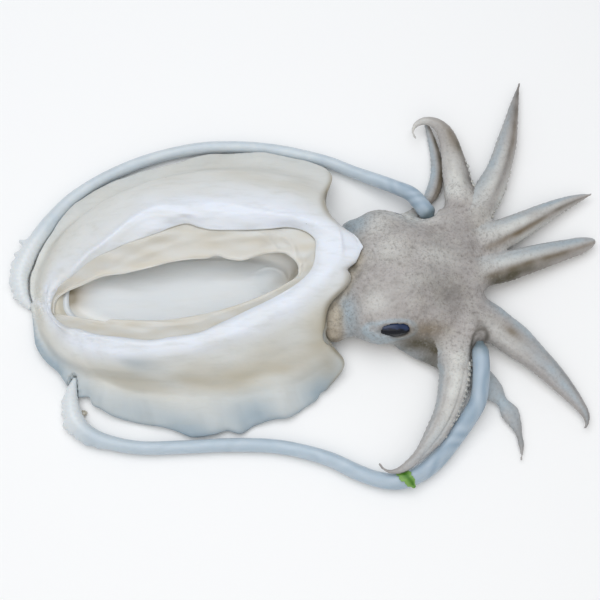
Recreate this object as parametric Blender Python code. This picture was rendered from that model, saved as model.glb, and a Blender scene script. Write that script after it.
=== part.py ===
"""A whole raw cuttlefish, cleaned for the kitchen, lying belly down.

The back of its mantle is slit open from end to end and the cuttlebone is out, so the
pouch that held it (the shell sac) gapes between two thick lips.  The head with its eight
arms comes out of the front of the mantle, and the two long feeding tentacles run back
along the flanks to their sucker clubs.

Plan places are millimetres, +X from tail to head, +Y to the far flank, +Z up, with the
board at Z = 0.  MIDDLE is taken off every plan place, so that the animal is centred on
the origin.  The script runs as it is in Blender 4.5.
"""
import math
from collections import namedtuple

import bmesh
import bpy
import numpy as np

MM = 0.001
MIDDLE = (2.68, 17.86)           # middle of the whole animal, in the plan below
GAP = 0.45                       # clear space kept between two neighbouring pieces

# ---- mantle and shell sac --------------------------------------------------------------
MANTLE_CENTRE = (-60.0, 10.0)
MANTLE_YAW = math.radians(7.0)   # the long axis turns this much towards the far side
SPOKES = 64                      # points round each outline
SPOKE_CROWDING = 0.7             # how much closer the spokes stand at the two ends
SAC_WALL = 1.4                   # thickness of the torn membrane of the shell sac

# One outline of the mantle, swept by an angle: 0 points to the head, 90 to the far flank.
#   along  = mid + half * cos
#   across = side + lean * cos + far  * |sin|**power * (1 + skew * cos)   on the far flank
#   across = side + lean * cos - near * |sin|**power * (1 + skew * cos)   on the near flank
#   height = flank, rising to the head end with cos**steep and to the tail end with cos**2
# far and near are (reach, power, skew); heights are far flank, near flank, head end, tail end.
Outline = namedtuple("Outline", "mid half side lean far near heights steep")

SAC_FLOOR = Outline(-6, 62, -3, 2, (21, 0.8, -0.2), (21, 1.2, 0), (9.5, 9, 11, 10), 2)
SAC_BULGE = Outline(-7, 67, -2, 3, (26, 0.8, -0.2), (28, 1.2, 0), (17, 16, 18, 12), 2)
SAC_RIM = Outline(-9.4, 68, -7.1, 2.4, (17, 0.65, -0.24), (16, 1.6, 0.08), (26, 24, 27, 14), 2)
RECESS = Outline(-6, 72, -2, 4, (27, 0.85, -0.2), (29, 1.2, 0), (22, 20, 23, 13), 2)
LIP = Outline(-5.2, 77.6, -0.4, 7.4, (26.6, 0.97, -0.34), (34.6, 1.28, 0.02), (34, 30, 32, 16), 2)
CREST = Outline(-2.3, 83, 5.5, 2.5, (32, 1.2, -0.4), (47.4, 0.85, -0.2), (38, 31, 34, 15), 3)
SHOULDER = Outline(-1.5, 88.5, 3, 3, (58, 0.9, 0), (56, 0.8, -0.05), (28, 21, 33, 11), 5)
FIN_ROOT = Outline(0.5, 94, 2, 3, (68, 0.75, 0.1), (66, 0.78, 0.08), (13, 9, 31, 7), 8)
FIN_EDGE = Outline(3.5, 100, 2.6, 4.5, (80, 0.7, 0.04), (89.9, 0.84, 0.18), (5, 2.4, 28, 4.5), 8)
FIN_UNDER = Outline(3.5, 98, 2.6, 4.5, (78, 0.7, 0.04), (88, 0.84, 0.18), (2.6, 0, 23, 1.5), 8)
THROAT = Outline(-1, 91, 2.6, 3, (70, 0.75, 0.04), (78, 0.84, 0.15), (1, 0, 11, 0), 6)
BELLY = Outline(-2, 88, 2.6, 3, (60, 0.75, 0), (66, 0.84, 0.1), (0, 0, 0, 0), 2)

# The front margin of the mantle, across the body: a straight base and slope, and soft
# bumps given by their place across, half width and reach.  The tall one is the lobe over
# the neck, with a shelf beside it and the front corner of the near fin after that.  The
# mantle is trimmed along this line, and the trim leans back towards the belly.
MARGIN_BASE = 74.6
MARGIN_SLOPE = 0.1
MARGIN_BUMPS = ((2.6, 15.4, 21), (-17.5, 7.2, 8.4), (-58, 10, 11.3), (57, 14, 7))
TRIM_LEAN = 0.12                 # millimetres back for each millimetre down
TRIM_TOP = 45.0
TRIM_BOTTOM = -5.0
TRIM_LEVEL = 18.0                # height at which the trim follows the margin exactly
TRIM_REACH = 130.0               # how far forward and to each side the trim goes
TRIM_STEPS = 87

# ---- head ------------------------------------------------------------------------------
# Each swelling of the head: its centre, and its radii along X, Y and Z.
SKULL = ((56, 13, 18), (32, 32, 17.5))
NEAR_CHEEK = ((46, -8, 15.2), (22, 21, 14.7))
FAR_CHEEK = ((47, 33.5, 15.2), (21, 20, 14.7))
NEAR_SHOULDER = ((72, -12, 12.5), (21, 17, 12))
CROWN = ((82, 17, 13.2), (25, 37, 12.7))
NECK = ((36, 10, 14.5), (23, 29, 11.5))
COLLAR = ((20, -8, 10.5), (13, 19.5, 9))
NEAR_WEB = ((98, -17, 11.5), (11, 12.5, 11))    # skin over the root of each tentacle
FAR_WEB = ((82.5, 46.5, 14.2), (10, 9.5, 8))
FAR_ROOT = ((63, 47.5, 8), (9, 8, 7.5))         # root of the second arm, below the far eye
FAR_FLAP = ((31, 43, 9), (9, 8, 8))             # loose skin between the far cheek and the mantle
EYE_RADII = (11.5, 4.8, 5.3)
EYES = {"eye_near": (50.4, -20.7, 20.2), "eye_far": (50.3, 48.6, 13.5)}

# ---- arms ------------------------------------------------------------------------------
# heading(t) = heading + bend * t + curl * ((t - curl_from) / (1 - curl_from))**2
# width(t) = width * (1 - t)**taper, with t from 0 at the head to 1 at the tip.
Arm = namedtuple("Arm", "root heading bend curl curl_from length width taper heights flatness")
ARM_TIP_WIDTH = 1.6
ARM_STEPS = 13
ARM_SIDES = 8

ARMS = (
    Arm((94.7, 55.9), 92, 16.3, 208.8, 0.49, 84, 21.6, 0.9, (11, 9), 0.76),
    Arm((67.7, 56.6), 35, 117.5, -49.2, 0.29, 69.4, 9.8, 0.45, (4.6, 3), 0.76),
    Arm((97, 46), 51.8, 40.8, -18.6, 0.45, 106.8, 21.9, 0.77, (11, 4), 0.76),
    Arm((98.6, 32.4), 20.7, 23, -27.4, 0.3, 84, 22.3, 0.67, (12, 5), 0.76),
    Arm((99, 13), 21.5, -5.8, 5.7, 0.72, 79.4, 20.3, 0.39, (12, 5), 0.76),
    Arm((97.9, -6.5), -30.9, -27.6, -76, 0.84, 96.2, 24, 0.69, (11, 4), 0.76),
    Arm((86, -22.7), -79.5, -74.5, -106.2, 0.79, 101.8, 22, 0.87, (11, 11.2), 0.76),
    Arm((68.3, -25.5), -23, -37.7, -39.2, 0.29, 93.4, 21.5, 0.75, (5.5, 2.4), 0.5),
)
ARM_INSET = 14                   # each arm starts this far back inside the head

# ---- tentacles -------------------------------------------------------------------------
# Plan place, height of the centre line, and thickness, by hand along each tentacle.
FAR_TENTACLE = (
    (79, 46, 14, 10), (74, 54, 14, 10.2), (66, 65, 13, 9.2), (56, 71, 11, 8.6), (44, 77, 8.5, 8.2),
    (31, 83.5, 6, 7.6), (15, 91, 4.5, 7.5), (-10, 97.5, 4.2, 7.5), (-36, 100.5, 4.1, 7.5),
    (-62, 99.5, 4.1, 7.5), (-90, 92.5, 4.1, 7.5), (-115, 81, 4.1, 7.5), (-134, 67.5, 4.2, 8),
    (-146, 53.5, 4.8, 9.2), (-154, 40, 5.6, 10.8), (-160, 27, 6.4, 12.4), (-163, 16, 6.3, 12),
    (-161, 5.5, 5, 9), (-155.8, -2.5, 3, 4),
)
NEAR_TENTACLE = (
    (98, -13, 14.6, 9), (101, -23, 14.8, 9.8), (101.7, -34, 14.2, 10), (101.6, -46, 13, 10),
    (99.5, -60, 10.8, 10), (93, -71, 8, 10), (84.5, -82.5, 6, 10), (75.5, -93, 5.2, 10),
    (66, -100.3, 5, 9.9), (55, -104.3, 4.9, 9.6), (44, -103.6, 4.6, 9.2), (32, -99.4, 4.5, 9),
    (14, -91, 4.3, 8.5), (-11, -84.9, 4.1, 8.1), (-37, -83.8, 4.1, 8), (-64, -85, 4, 7.7),
    (-88, -85.5, 4.1, 7.8), (-106, -82.5, 4.4, 8.4), (-118, -78, 5, 9.8), (-126, -70, 5.7, 11.2),
    (-129, -60, 5, 9.8), (-129, -51, 3.6, 6.2), (-128, -44.5, 2.2, 2.6),
)
TENTACLE_STEPS = 42
TENTACLE_SIDES = 8

# ---- colours: linear red, green, blue, then roughness -----------------------------------
MANTLE_FLESH = (0.80, 0.74, 0.64, 0.35)
MEMBRANE = (0.70, 0.72, 0.70, 0.25)
SPECKLED_SKIN = (0.27, 0.22, 0.18, 0.45)
EYE_BLUE = (0.01, 0.015, 0.06, 0.15)
TENTACLE_SKIN = (0.52, 0.58, 0.62, 0.35)


def clear_scene():
    """Remove the objects of the file the script starts in."""
    for item in list(bpy.data.objects):
        bpy.data.objects.remove(item, do_unlink=True)


def new_collection(name):
    """Make a collection that hangs under the scene's own."""
    group = bpy.data.collections.new(name)
    bpy.context.scene.collection.children.link(group)
    return group


def new_material(name, colour):
    """A Principled material from (red, green, blue, roughness)."""
    material = bpy.data.materials.new(name)
    material.use_nodes = True
    shader = material.node_tree.nodes["Principled BSDF"]
    shader.inputs["Base Color"].default_value = (*colour[:3], 1)
    shader.inputs["Roughness"].default_value = colour[3]
    shader.inputs["Metallic"].default_value = 0
    return material


def new_object(name, mesh, group, material=None):
    """Put a mesh into the scene, smoothly shaded."""
    item = bpy.data.objects.new(name, mesh)
    group.objects.link(item)
    if material:
        mesh.materials.append(material)
    mesh.shade_smooth()
    return item


def as_cutter(item):
    """Mark an object that only shapes others."""
    item.hide_render = True
    item.display_type = "WIRE"
    return item


def at(points):
    """Plan millimetres (N x 3) to metres about the origin."""
    points = np.array(points, float)
    points[:, :2] -= MIDDLE
    return points * MM


# ---- rings ------------------------------------------------------------------------------
def spoke_angles():
    """Angles round an outline, closer together at the head and tail ends."""
    even = np.linspace(0, 2 * math.pi, SPOKES, endpoint=False)
    return even - SPOKE_CROWDING / 2 * np.sin(2 * even)


def front_margin(across):
    """How far forward the mantle reaches at each place across it."""
    margin = MARGIN_BASE + MARGIN_SLOPE * across
    for middle, width, reach in MARGIN_BUMPS:
        margin = margin + reach * np.exp(-((across - middle) / width) ** 2)
    return margin


def mantle_plan(along, across):
    """Places along and across the mantle, turned into the plan."""
    x = MANTLE_CENTRE[0] + along * math.cos(MANTLE_YAW) - across * math.sin(MANTLE_YAW)
    y = MANTLE_CENTRE[1] + along * math.sin(MANTLE_YAW) + across * math.cos(MANTLE_YAW)
    return x, y


def flank(side, sin, cos, grow):
    """How far one flank stands out from the middle line."""
    reach, power, skew = side
    return (reach + grow) * np.abs(sin) ** power * (1 + skew * cos)


def ring(shape, grow=0.0, lift=0.0, scale=1.0):
    """The points of one outline, made wider by grow and higher by lift, then scaled in plan."""
    angle = spoke_angles()
    cos = np.cos(angle)
    sin = np.sin(angle)
    sides = np.where(sin > 0, flank(shape.far, sin, cos, grow), -flank(shape.near, sin, cos, grow))
    along = shape.mid + (shape.half + grow) * cos * scale
    across = shape.side + (shape.lean * cos + sides) * scale
    x, y = mantle_plan(along, across)
    at_far, at_near, at_head, at_tail = shape.heights
    z = np.where(sin > 0, at_far, at_near)
    z = z + (at_head - z) * np.maximum(cos, 0) ** shape.steep
    z = z + (at_tail - z) * np.maximum(-cos, 0) ** 2
    return np.stack([x, y, z + lift], axis=1)


def ring_body(name, rings, group, material):
    """Loft a closed body through nested rings, with a pole in the middle of each end.

    The rings run from the top of the hollow, outwards over the back and in again below.
    """
    first = rings[0].mean(axis=0)
    last = rings[-1].mean(axis=0)
    points = at(np.concatenate([[first], *rings, [last]]))
    count = len(rings[0])
    end = len(points) - 1
    faces = []
    for i in range(count):
        j = (i + 1) % count
        faces.append((0, 1 + i, 1 + j))
        for row in range(len(rings) - 1):
            base = 1 + row * count
            faces.append((base + i, base + count + i, base + count + j, base + j))
        faces.append((end, end - count + j, end - count + i))
    mesh = bpy.data.meshes.new(name)
    mesh.from_pydata(points.tolist(), [], faces)
    mesh.validate()
    return new_object(name, mesh, group, material)


def build_mantle(group, material):
    """Hollow for the sac, lip, crest, slopes, fins and flat belly, as one loft."""
    clear = SAC_WALL + GAP
    rings = [
        ring(SAC_FLOOR, clear, -clear, 0.5), ring(SAC_FLOOR, clear, -clear),
        ring(SAC_BULGE, clear + 0.3), ring(RECESS, clear), ring(LIP), ring(CREST),
        ring(SHOULDER), ring(FIN_ROOT), ring(FIN_EDGE), ring(FIN_UNDER), ring(THROAT),
        ring(BELLY), ring(BELLY, scale=0.5),
    ]
    return ring_body("mantle", rings, group, material)


def build_shell_sac(group, material):
    """The thin pouch: its inside from the floor to the torn rim, then its outside."""
    rings = [
        ring(SAC_FLOOR, 0, 0, 0.5), ring(SAC_FLOOR), ring(SAC_BULGE), ring(SAC_RIM),
        ring(SAC_RIM, SAC_WALL, -0.5), ring(SAC_BULGE, SAC_WALL),
        ring(SAC_FLOOR, SAC_WALL, -SAC_WALL), ring(SAC_FLOOR, SAC_WALL, -SAC_WALL, 0.5),
    ]
    return ring_body("shell_sac", rings, group, material)


# ---- soft round forms --------------------------------------------------------------------
def ellipsoid(name, centre, radii, group, material=None, segments=16, rings=10):
    """A sphere primitive, stretched to three radii, with its size applied."""
    mesh = bpy.data.meshes.new(name)
    work = bmesh.new()
    bmesh.ops.create_uvsphere(work, u_segments=segments, v_segments=rings, radius=1)
    bmesh.ops.scale(work, vec=[r * MM for r in radii], verts=work.verts)
    work.to_mesh(mesh)
    work.free()
    item = new_object(name, mesh, group, material)
    item.location = at([centre])[0]
    return item


def tube(name, points, radii, sides, group, material=None, flatness=1.0):
    """A curve with a round bevel that tapers along it, made a closed mesh.

    flatness squeezes its height about the board, so the points are raised by as much first.
    """
    curve = bpy.data.curves.new(name, "CURVE")
    curve.dimensions = "3D"
    curve.bevel_depth = MM
    curve.bevel_resolution = sides // 2 - 2
    curve.use_fill_caps = True
    spline = curve.splines.new("POLY")
    spline.points.add(len(points) - 1)
    for knot, place, radius in zip(spline.points, at(points), radii):
        knot.co = (place[0], place[1], place[2] / flatness, 1)
        knot.radius = radius
    draft = bpy.data.objects.new(name, curve)
    group.objects.link(draft)
    draft.scale.z = flatness
    graph = bpy.context.evaluated_depsgraph_get()
    mesh = bpy.data.meshes.new_from_object(draft.evaluated_get(graph))
    mesh.transform(draft.matrix_world)
    bpy.data.objects.remove(draft, do_unlink=True)
    work = bmesh.new()
    work.from_mesh(mesh)
    bmesh.ops.remove_doubles(work, verts=work.verts, dist=0.00001)
    bmesh.ops.recalc_face_normals(work, faces=work.faces)
    work.to_mesh(mesh)
    work.free()
    mesh.name = name
    mesh.materials.clear()
    return new_object(name, mesh, group, material)


def arm_line(shape):
    """Points and radii along one arm, by walking along its heading."""
    t = (np.arange(ARM_STEPS) + 0.5) / ARM_STEPS
    late = np.clip((t - shape.curl_from) / (1 - shape.curl_from), 0, 1)
    heading = np.radians(shape.heading + shape.bend * t + shape.curl * late ** 2)
    step = shape.length / ARM_STEPS
    x = shape.root[0] + np.append(0, np.cumsum(np.cos(heading))) * step
    y = shape.root[1] + np.append(0, np.cumsum(np.sin(heading))) * step
    t = np.linspace(0, 1, ARM_STEPS + 1)
    z = shape.heights[0] + (shape.heights[1] - shape.heights[0]) * t
    width = np.maximum(shape.width * (1 - t) ** shape.taper, ARM_TIP_WIDTH)
    back = math.radians(shape.heading)
    inner = (x[0] - ARM_INSET * math.cos(back), y[0] - ARM_INSET * math.sin(back), z[0])
    points = np.vstack([inner, np.stack([x, y, z], axis=1)])
    return points, np.append(width[0] * 0.8, width) / 2


def smooth_line(route, count):
    """A smooth curve through the route's own points, read at even steps (Catmull-Rom)."""
    route = np.array(route, float)
    knots = np.vstack([2 * route[0] - route[1], route, 2 * route[-1] - route[-2]])
    place = np.linspace(0, len(route) - 1, count)
    i = np.minimum(place.astype(int), len(route) - 2)
    t = (place - i)[:, None]
    a, b, c, d = (knots[i + k] for k in range(4))
    return 0.5 * (2 * b + (c - a) * t + (2 * a - 5 * b + 4 * c - d) * t ** 2
                  + (3 * b - a - 3 * c + d) * t ** 3)


def build_tentacle(name, route, group, material):
    """A feeding tentacle: a long round stalk that ends in a swollen club."""
    line = smooth_line(route, TENTACLE_STEPS)
    return tube(name, line[:, :3], line[:, 3] / 2, TENTACLE_SIDES, group, material)


def build_groove(name, route, group):
    """The space a tentacle needs: the same line, a gap wider, and longer at its root."""
    line = smooth_line(route, TENTACLE_STEPS)
    start = line[0, :3] - (line[1, :3] - line[0, :3]) * 0.2
    points = np.vstack([start, line[:, :3]])
    radii = np.append(line[0, 3], line[:, 3]) / 2 + GAP * 1.1
    return as_cutter(tube(name, points, radii, TENTACLE_SIDES, group))


def add_boolean(item, name, operation, group):
    """Join or cut an object with everything in a collection."""
    modifier = item.modifiers.new(name, "BOOLEAN")
    modifier.operation = operation
    modifier.operand_type = "COLLECTION"
    modifier.collection = group
    modifier.solver = "EXACT"


def build_head(group, guides, hollows, material):
    """Skull, cheeks, crown, neck and eight arms in one body, with sockets and grooves."""
    head = ellipsoid("head_and_arms", *SKULL, group, material)
    swellings = (("near_cheek", NEAR_CHEEK), ("far_cheek", FAR_CHEEK),
                 ("near_shoulder", NEAR_SHOULDER), ("crown", CROWN), ("neck", NECK),
                 ("collar", COLLAR), ("near_web", NEAR_WEB), ("far_web", FAR_WEB),
                 ("far_root", FAR_ROOT), ("far_flap", FAR_FLAP))
    for name, (centre, radii) in swellings:
        as_cutter(ellipsoid(name, centre, radii, guides, segments=13, rings=9))
    for number, shape in enumerate(ARMS, 1):
        points, radii = arm_line(shape)
        name = "arm_%d" % number
        as_cutter(tube(name, points, radii, ARM_SIDES, guides, flatness=shape.flatness))
    for name, centre in EYES.items():
        wide = [radius + GAP for radius in EYE_RADII]
        as_cutter(ellipsoid(name + "_socket", centre, wide, hollows))
    add_boolean(head, "Join swellings and arms", "UNION", guides)
    add_boolean(head, "Cut sockets and grooves", "DIFFERENCE", hollows)
    return head


def build_front_trim(group):
    """A block with the front margin as its back wall, which leans back towards the belly."""
    across = np.linspace(-TRIM_REACH, TRIM_REACH, TRIM_STEPS)
    loops = []
    for z in (TRIM_BOTTOM, TRIM_TOP):
        along = front_margin(across) + TRIM_LEAN * (z - TRIM_LEVEL)
        along = np.concatenate([[TRIM_REACH], along, [TRIM_REACH]])
        sides = np.concatenate([[-TRIM_REACH], across, [TRIM_REACH]])
        x, y = mantle_plan(along, sides)
        loops.append(np.stack([x, y, np.full(len(x), z)], axis=1))
    count = len(loops[0])
    faces = [tuple(range(count)), tuple(reversed(range(count, 2 * count)))]
    for i in range(count):
        j = (i + 1) % count
        faces.append((i, count + i, count + j, j))
    mesh = bpy.data.meshes.new("front_trim")
    mesh.from_pydata(at(np.concatenate(loops)).tolist(), [], faces)
    work = bmesh.new()
    work.from_mesh(mesh)
    bmesh.ops.recalc_face_normals(work, faces=work.faces)
    work.to_mesh(mesh)
    work.free()
    return as_cutter(new_object("front_trim", mesh, group))


def build_neck_hollow(group):
    """The mouth of the mantle: the room that the neck and cheeks need."""
    shapes = (("mouth_neck", NECK), ("mouth_collar", COLLAR), ("mouth_near", NEAR_CHEEK),
              ("mouth_far", FAR_CHEEK), ("mouth_skull", SKULL))
    for name, (centre, radii) in shapes:
        wide = [radius + 2 * GAP for radius in radii]
        as_cutter(ellipsoid(name, centre, wide, group))


def main():
    """Build every piece."""
    clear_scene()
    animal = new_collection("raw_cuttlefish")
    guides = new_collection("head_guides")
    hollows = new_collection("head_hollows")
    mouth = new_collection("mantle_mouth")
    flesh = new_material("mantle_flesh", MANTLE_FLESH)
    tentacle_skin = new_material("tentacle_skin", TENTACLE_SKIN)

    mantle = build_mantle(animal, flesh)
    build_front_trim(mouth)
    build_neck_hollow(mouth)
    for name, route in (("far_groove", FAR_TENTACLE), ("near_groove", NEAR_TENTACLE)):
        mouth.objects.link(build_groove(name, route, hollows))
    add_boolean(mantle, "Trim, open the mouth and make way for tentacles", "DIFFERENCE", mouth)
    build_shell_sac(animal, new_material("membrane", MEMBRANE))

    build_head(animal, guides, hollows, new_material("speckled_skin", SPECKLED_SKIN))
    eye = new_material("eye", EYE_BLUE)
    for name, centre in EYES.items():
        ellipsoid(name, centre, EYE_RADII, animal, eye)
    build_tentacle("tentacle_far", FAR_TENTACLE, animal, tentacle_skin)
    build_tentacle("tentacle_near", NEAR_TENTACLE, animal, tentacle_skin)


main()
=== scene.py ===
# %% [markdown]
# # A whole raw cuttlefish
#
# The animal lies belly down. Its back is slit open and the cuttlebone is out, so the sac that
# held it gapes between two thick lips of muscle. The head and eight arms are grey and finely
# speckled, and the two long feeding tentacles are smooth and pale blue.
#
# Wet flesh has no straight lines and no flat colour. So every piece here is a surface worked
# out with numpy, and every finish is a mix of a few flesh colours, weighted by numbers that
# are stored on the surface itself.

# %% Load the frame
import math
from collections import namedtuple

import bpy
import numpy as np
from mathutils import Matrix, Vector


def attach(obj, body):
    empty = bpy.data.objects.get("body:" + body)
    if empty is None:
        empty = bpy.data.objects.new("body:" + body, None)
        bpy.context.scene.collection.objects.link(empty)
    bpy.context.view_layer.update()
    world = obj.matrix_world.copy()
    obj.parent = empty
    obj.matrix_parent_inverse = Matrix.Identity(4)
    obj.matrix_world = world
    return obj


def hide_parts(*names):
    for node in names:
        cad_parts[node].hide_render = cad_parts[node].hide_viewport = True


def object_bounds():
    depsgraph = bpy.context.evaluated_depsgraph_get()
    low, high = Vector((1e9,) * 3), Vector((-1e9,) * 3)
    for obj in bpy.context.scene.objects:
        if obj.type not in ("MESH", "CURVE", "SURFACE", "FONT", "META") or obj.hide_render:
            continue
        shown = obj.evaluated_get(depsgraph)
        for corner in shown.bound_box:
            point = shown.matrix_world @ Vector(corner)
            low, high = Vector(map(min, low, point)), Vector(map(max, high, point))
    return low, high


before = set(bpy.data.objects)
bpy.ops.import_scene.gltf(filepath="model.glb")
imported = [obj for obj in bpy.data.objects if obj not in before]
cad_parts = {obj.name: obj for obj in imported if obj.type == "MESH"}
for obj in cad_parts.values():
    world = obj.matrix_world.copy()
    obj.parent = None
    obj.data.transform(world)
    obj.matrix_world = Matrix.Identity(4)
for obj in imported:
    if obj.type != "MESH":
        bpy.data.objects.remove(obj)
cad_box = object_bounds()
print("frame pieces:", sorted(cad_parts))

# %% [markdown]
# ## Places
#
# All places below are millimetres in a plan of the animal: x runs from the tail towards the
# head, y towards the far flank, and z up from the board. The origin of the finished part is
# the middle of its box, so one function takes MIDDLE off and turns millimetres to metres.

# %% From plan millimetres to metres
MM = 0.001
MIDDLE = np.array([2.68, 17.86, 0.0])


def at(points):
    """Places in plan millimetres, as metres about the origin."""
    return (np.asarray(points, float) - MIDDLE) * MM


# %% [markdown]
# ## Camera, board and light
#
# The camera looks down from 70 degrees above the near flank. The board is plain and nearly
# white, and the light is one big soft lamp above the far flank with a weak one opposite, as
# on a kitchen counter by a window. Wet skin needs broad lamps: they make long soft shines.

# %% Camera
ELEVATION = math.radians(70)
LENS = 80.0
SENSOR = 36.0
SEEN_ACROSS = 345.0              # millimetres of the board that the frame takes in
AIM = np.array([0.0, 0.0, 10.0])

distance = SEEN_ACROSS * LENS / SENSOR
back = np.array([0.0, -math.cos(ELEVATION), math.sin(ELEVATION)])
camera = bpy.data.objects.new("camera", bpy.data.cameras.new("camera"))
camera.data.lens = LENS
camera.data.sensor_width = SENSOR
camera.data.clip_start = 0.01
camera.location = at(AIM + distance * back)
camera.rotation_euler = (math.pi / 2 - ELEVATION, 0, 0)
bpy.context.scene.collection.objects.link(camera)
bpy.context.scene.camera = camera
print("camera stands", round(distance), "mm from the animal")


# %% A node helper and the colours' helper
def linear(code):
    """The linear colour of a six-digit sRGB hex value, with alpha 1."""
    parts = np.array([int(code[i:i + 2], 16) for i in (0, 2, 4)]) / 255
    flat = np.where(parts <= 0.04045, parts / 12.92, ((parts + 0.055) / 1.055) ** 2.4)
    return (*flat.tolist(), 1.0)


def add(tree, kind, inputs=None, **settings):
    """Add a node, set its properties, and fill its inputs with values or other sockets."""
    made = tree.nodes.new("ShaderNode" + kind)
    for name, value in settings.items():
        setattr(made, name, value)
    for name, value in (inputs or {}).items():
        if isinstance(value, bpy.types.NodeSocket):
            tree.links.new(value, made.inputs[name])
        else:
            made.inputs[name].default_value = value
    return made


# %% Board and lamps
def new_lamp(name, place, size, watts, colour):
    """A square area lamp that faces the middle of the board."""
    data = bpy.data.lights.new(name, "AREA")
    data.size = size
    data.energy = watts
    data.color = linear(colour)[:3]
    lamp = bpy.data.objects.new(name, data)
    lamp.location = place
    towards = -lamp.location
    lamp.rotation_euler = towards.to_track_quat("-Z", "Y").to_euler()
    bpy.context.scene.collection.objects.link(lamp)


new_lamp("window", (-0.2, 0.18, 1.25), 1.3, 9.4, "F8FBFF")
new_lamp("room", (0.1, -0.75, 1.0), 1.2, 3.4, "FFF9F1")

world = bpy.data.worlds.new("studio")
world.use_nodes = True
world.node_tree.nodes["Background"].inputs["Color"].default_value = linear("F4F6FA")
world.node_tree.nodes["Background"].inputs["Strength"].default_value = 0.5
bpy.context.scene.world = world
bpy.context.scene.view_settings.view_transform = "Standard"

board_size = 3.0
mesh = bpy.data.meshes.new("board")
corners = np.array([(-1, -1), (1, -1), (1, 1), (-1, 1)]) * board_size / 2
mesh.from_pydata([(x, y, -0.0002) for x, y in corners], [], [(0, 1, 2, 3)])
board = bpy.data.objects.new("board", mesh)
board_paint = bpy.data.materials.new("white_laminate")
board_paint.use_nodes = True
shader = board_paint.node_tree.nodes["Principled BSDF"]
shader.inputs["Base Color"].default_value = linear("F9F9F8")
shader.inputs["Roughness"].default_value = 0.6
mesh.materials.append(board_paint)
bpy.context.scene.collection.objects.link(board)

# %% [markdown]
# ## Surfaces
#
# Three helpers make every shape. `through` carries a smooth surface through a few closed
# outlines. `loft_faces` joins the rows of such a surface and closes its two ends. `new_piece`
# puts the result into Blender and makes sure that its faces point outwards.


# %% Surface helpers
def through(rings, rows):
    """A smooth surface through closed rings, and the ring number at each of its rows.

    Between two rings each spoke is a cubic. Its slope at a ring is the mean of the slopes on
    the two sides of that ring, the nearer side counting more.
    """
    rings = np.array(rings)
    gap = np.linalg.norm(np.diff(rings, axis=0), axis=2).mean(axis=1)[:, None, None]
    slope = np.diff(rings, axis=0) / gap
    middle = (slope[:-1] * gap[1:] + slope[1:] * gap[:-1]) / (gap[1:] + gap[:-1])
    slope_at = np.concatenate([slope[:1], middle, slope[-1:]])
    parts = []
    for k, count in enumerate(rows):
        t = (np.arange(count) / count)[:, None, None]
        parts.append((2 * t ** 3 - 3 * t ** 2 + 1) * rings[k]
                     + (t ** 3 - 2 * t ** 2 + t) * gap[k] * slope_at[k]
                     + (3 * t ** 2 - 2 * t ** 3) * rings[k + 1]
                     + (t ** 3 - t ** 2) * gap[k] * slope_at[k + 1])
    parts.append(rings[-1:])
    numbers = np.concatenate([k + np.arange(count) / count for k, count in enumerate(rows)])
    return np.concatenate(parts), np.append(numbers, len(rows))


def loft_faces(rows, columns):
    """Quads between neighbouring rows, and a fan of triangles to a pole at each end.

    The two poles are the last two points.
    """
    grid = np.arange(rows * columns).reshape(rows, columns)
    here, there = grid[:-1], grid[1:]
    quads = np.stack([here, there, np.roll(there, -1, 1), np.roll(here, -1, 1)], axis=-1)
    first = np.full(columns, rows * columns)
    start = np.stack([first, grid[0], np.roll(grid[0], -1)], axis=1)
    end = np.stack([first + 1, np.roll(grid[-1], -1), grid[-1]], axis=1)
    return quads.reshape(-1, 4).tolist() + start.tolist() + end.tolist()


def close(surface):
    """The points of a surface of rows and columns, with its two poles at the end."""
    poles = [surface[0].mean(axis=0), surface[-1].mean(axis=0)]
    return np.concatenate([surface.reshape(-1, 3), poles])


def rows_of(items, field, width, kind=np.float32):
    """One field of all the points or edges of a mesh, as the rows of an array."""
    flat = np.empty(len(items) * width, kind)
    items.foreach_get(field, flat)
    return flat.reshape(-1, width)


def places_of(mesh):
    """The places of a mesh's points, as an array."""
    return rows_of(mesh.vertices, "co", 3).astype(float)


def turn_outwards(mesh):
    """Flip the faces if the signed volume they close is negative."""
    mesh.calc_loop_triangles()
    corners = np.empty(len(mesh.loop_triangles) * 3, np.int32)
    mesh.loop_triangles.foreach_get("vertices", corners)
    a, b, c = places_of(mesh)[corners.reshape(-1, 3)].transpose(1, 0, 2)
    if (np.cross(a, b) * c).sum() < 0:
        mesh.flip_normals()


def new_mesh(name, points, faces):
    """A mesh from places in plan millimetres, smoothly shaded, faces outwards."""
    mesh = bpy.data.meshes.new(name)
    mesh.from_pydata(at(points).tolist(), [], faces)
    turn_outwards(mesh)
    mesh.shade_smooth()
    return mesh


def new_piece(name, mesh, masks=None):
    """Put a mesh into the scene, and store on its points the weights that the finish reads."""
    piece = bpy.data.objects.new(name, mesh)
    bpy.context.scene.collection.objects.link(piece)
    for mask, values in (masks or {}).items():
        layer = mesh.attributes.new(mask, "FLOAT", "POINT")
        layer.data.foreach_set("value", np.clip(values, 0, 1).astype(np.float32))
    print(name, "has", len(mesh.vertices), "points")
    return piece


# %% [markdown]
# ## Unevenness
#
# Flesh is never even. `wander` is a smooth random height made of a few plane waves, and
# `beside` measures how far each point lies from a line in the plan, and on which side. With
# the two, a fold is a ridge that follows a line and is steeper on one side. `fade` and `near`
# turn such distances into weights between 0 and 1, for shapes and for colours alike.


# %% Weights
def fade(values, low, high):
    """A soft step: 0 below low, 1 above high, 3t**2 - 2t**3 between them."""
    t = np.clip((values - low) / (high - low), 0, 1)
    return t * t * (3 - 2 * t)


def near(values, middle, width):
    """A soft bell: exp(-((values - middle) / width)**2)."""
    return np.exp(-((values - middle) / width) ** 2)


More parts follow.
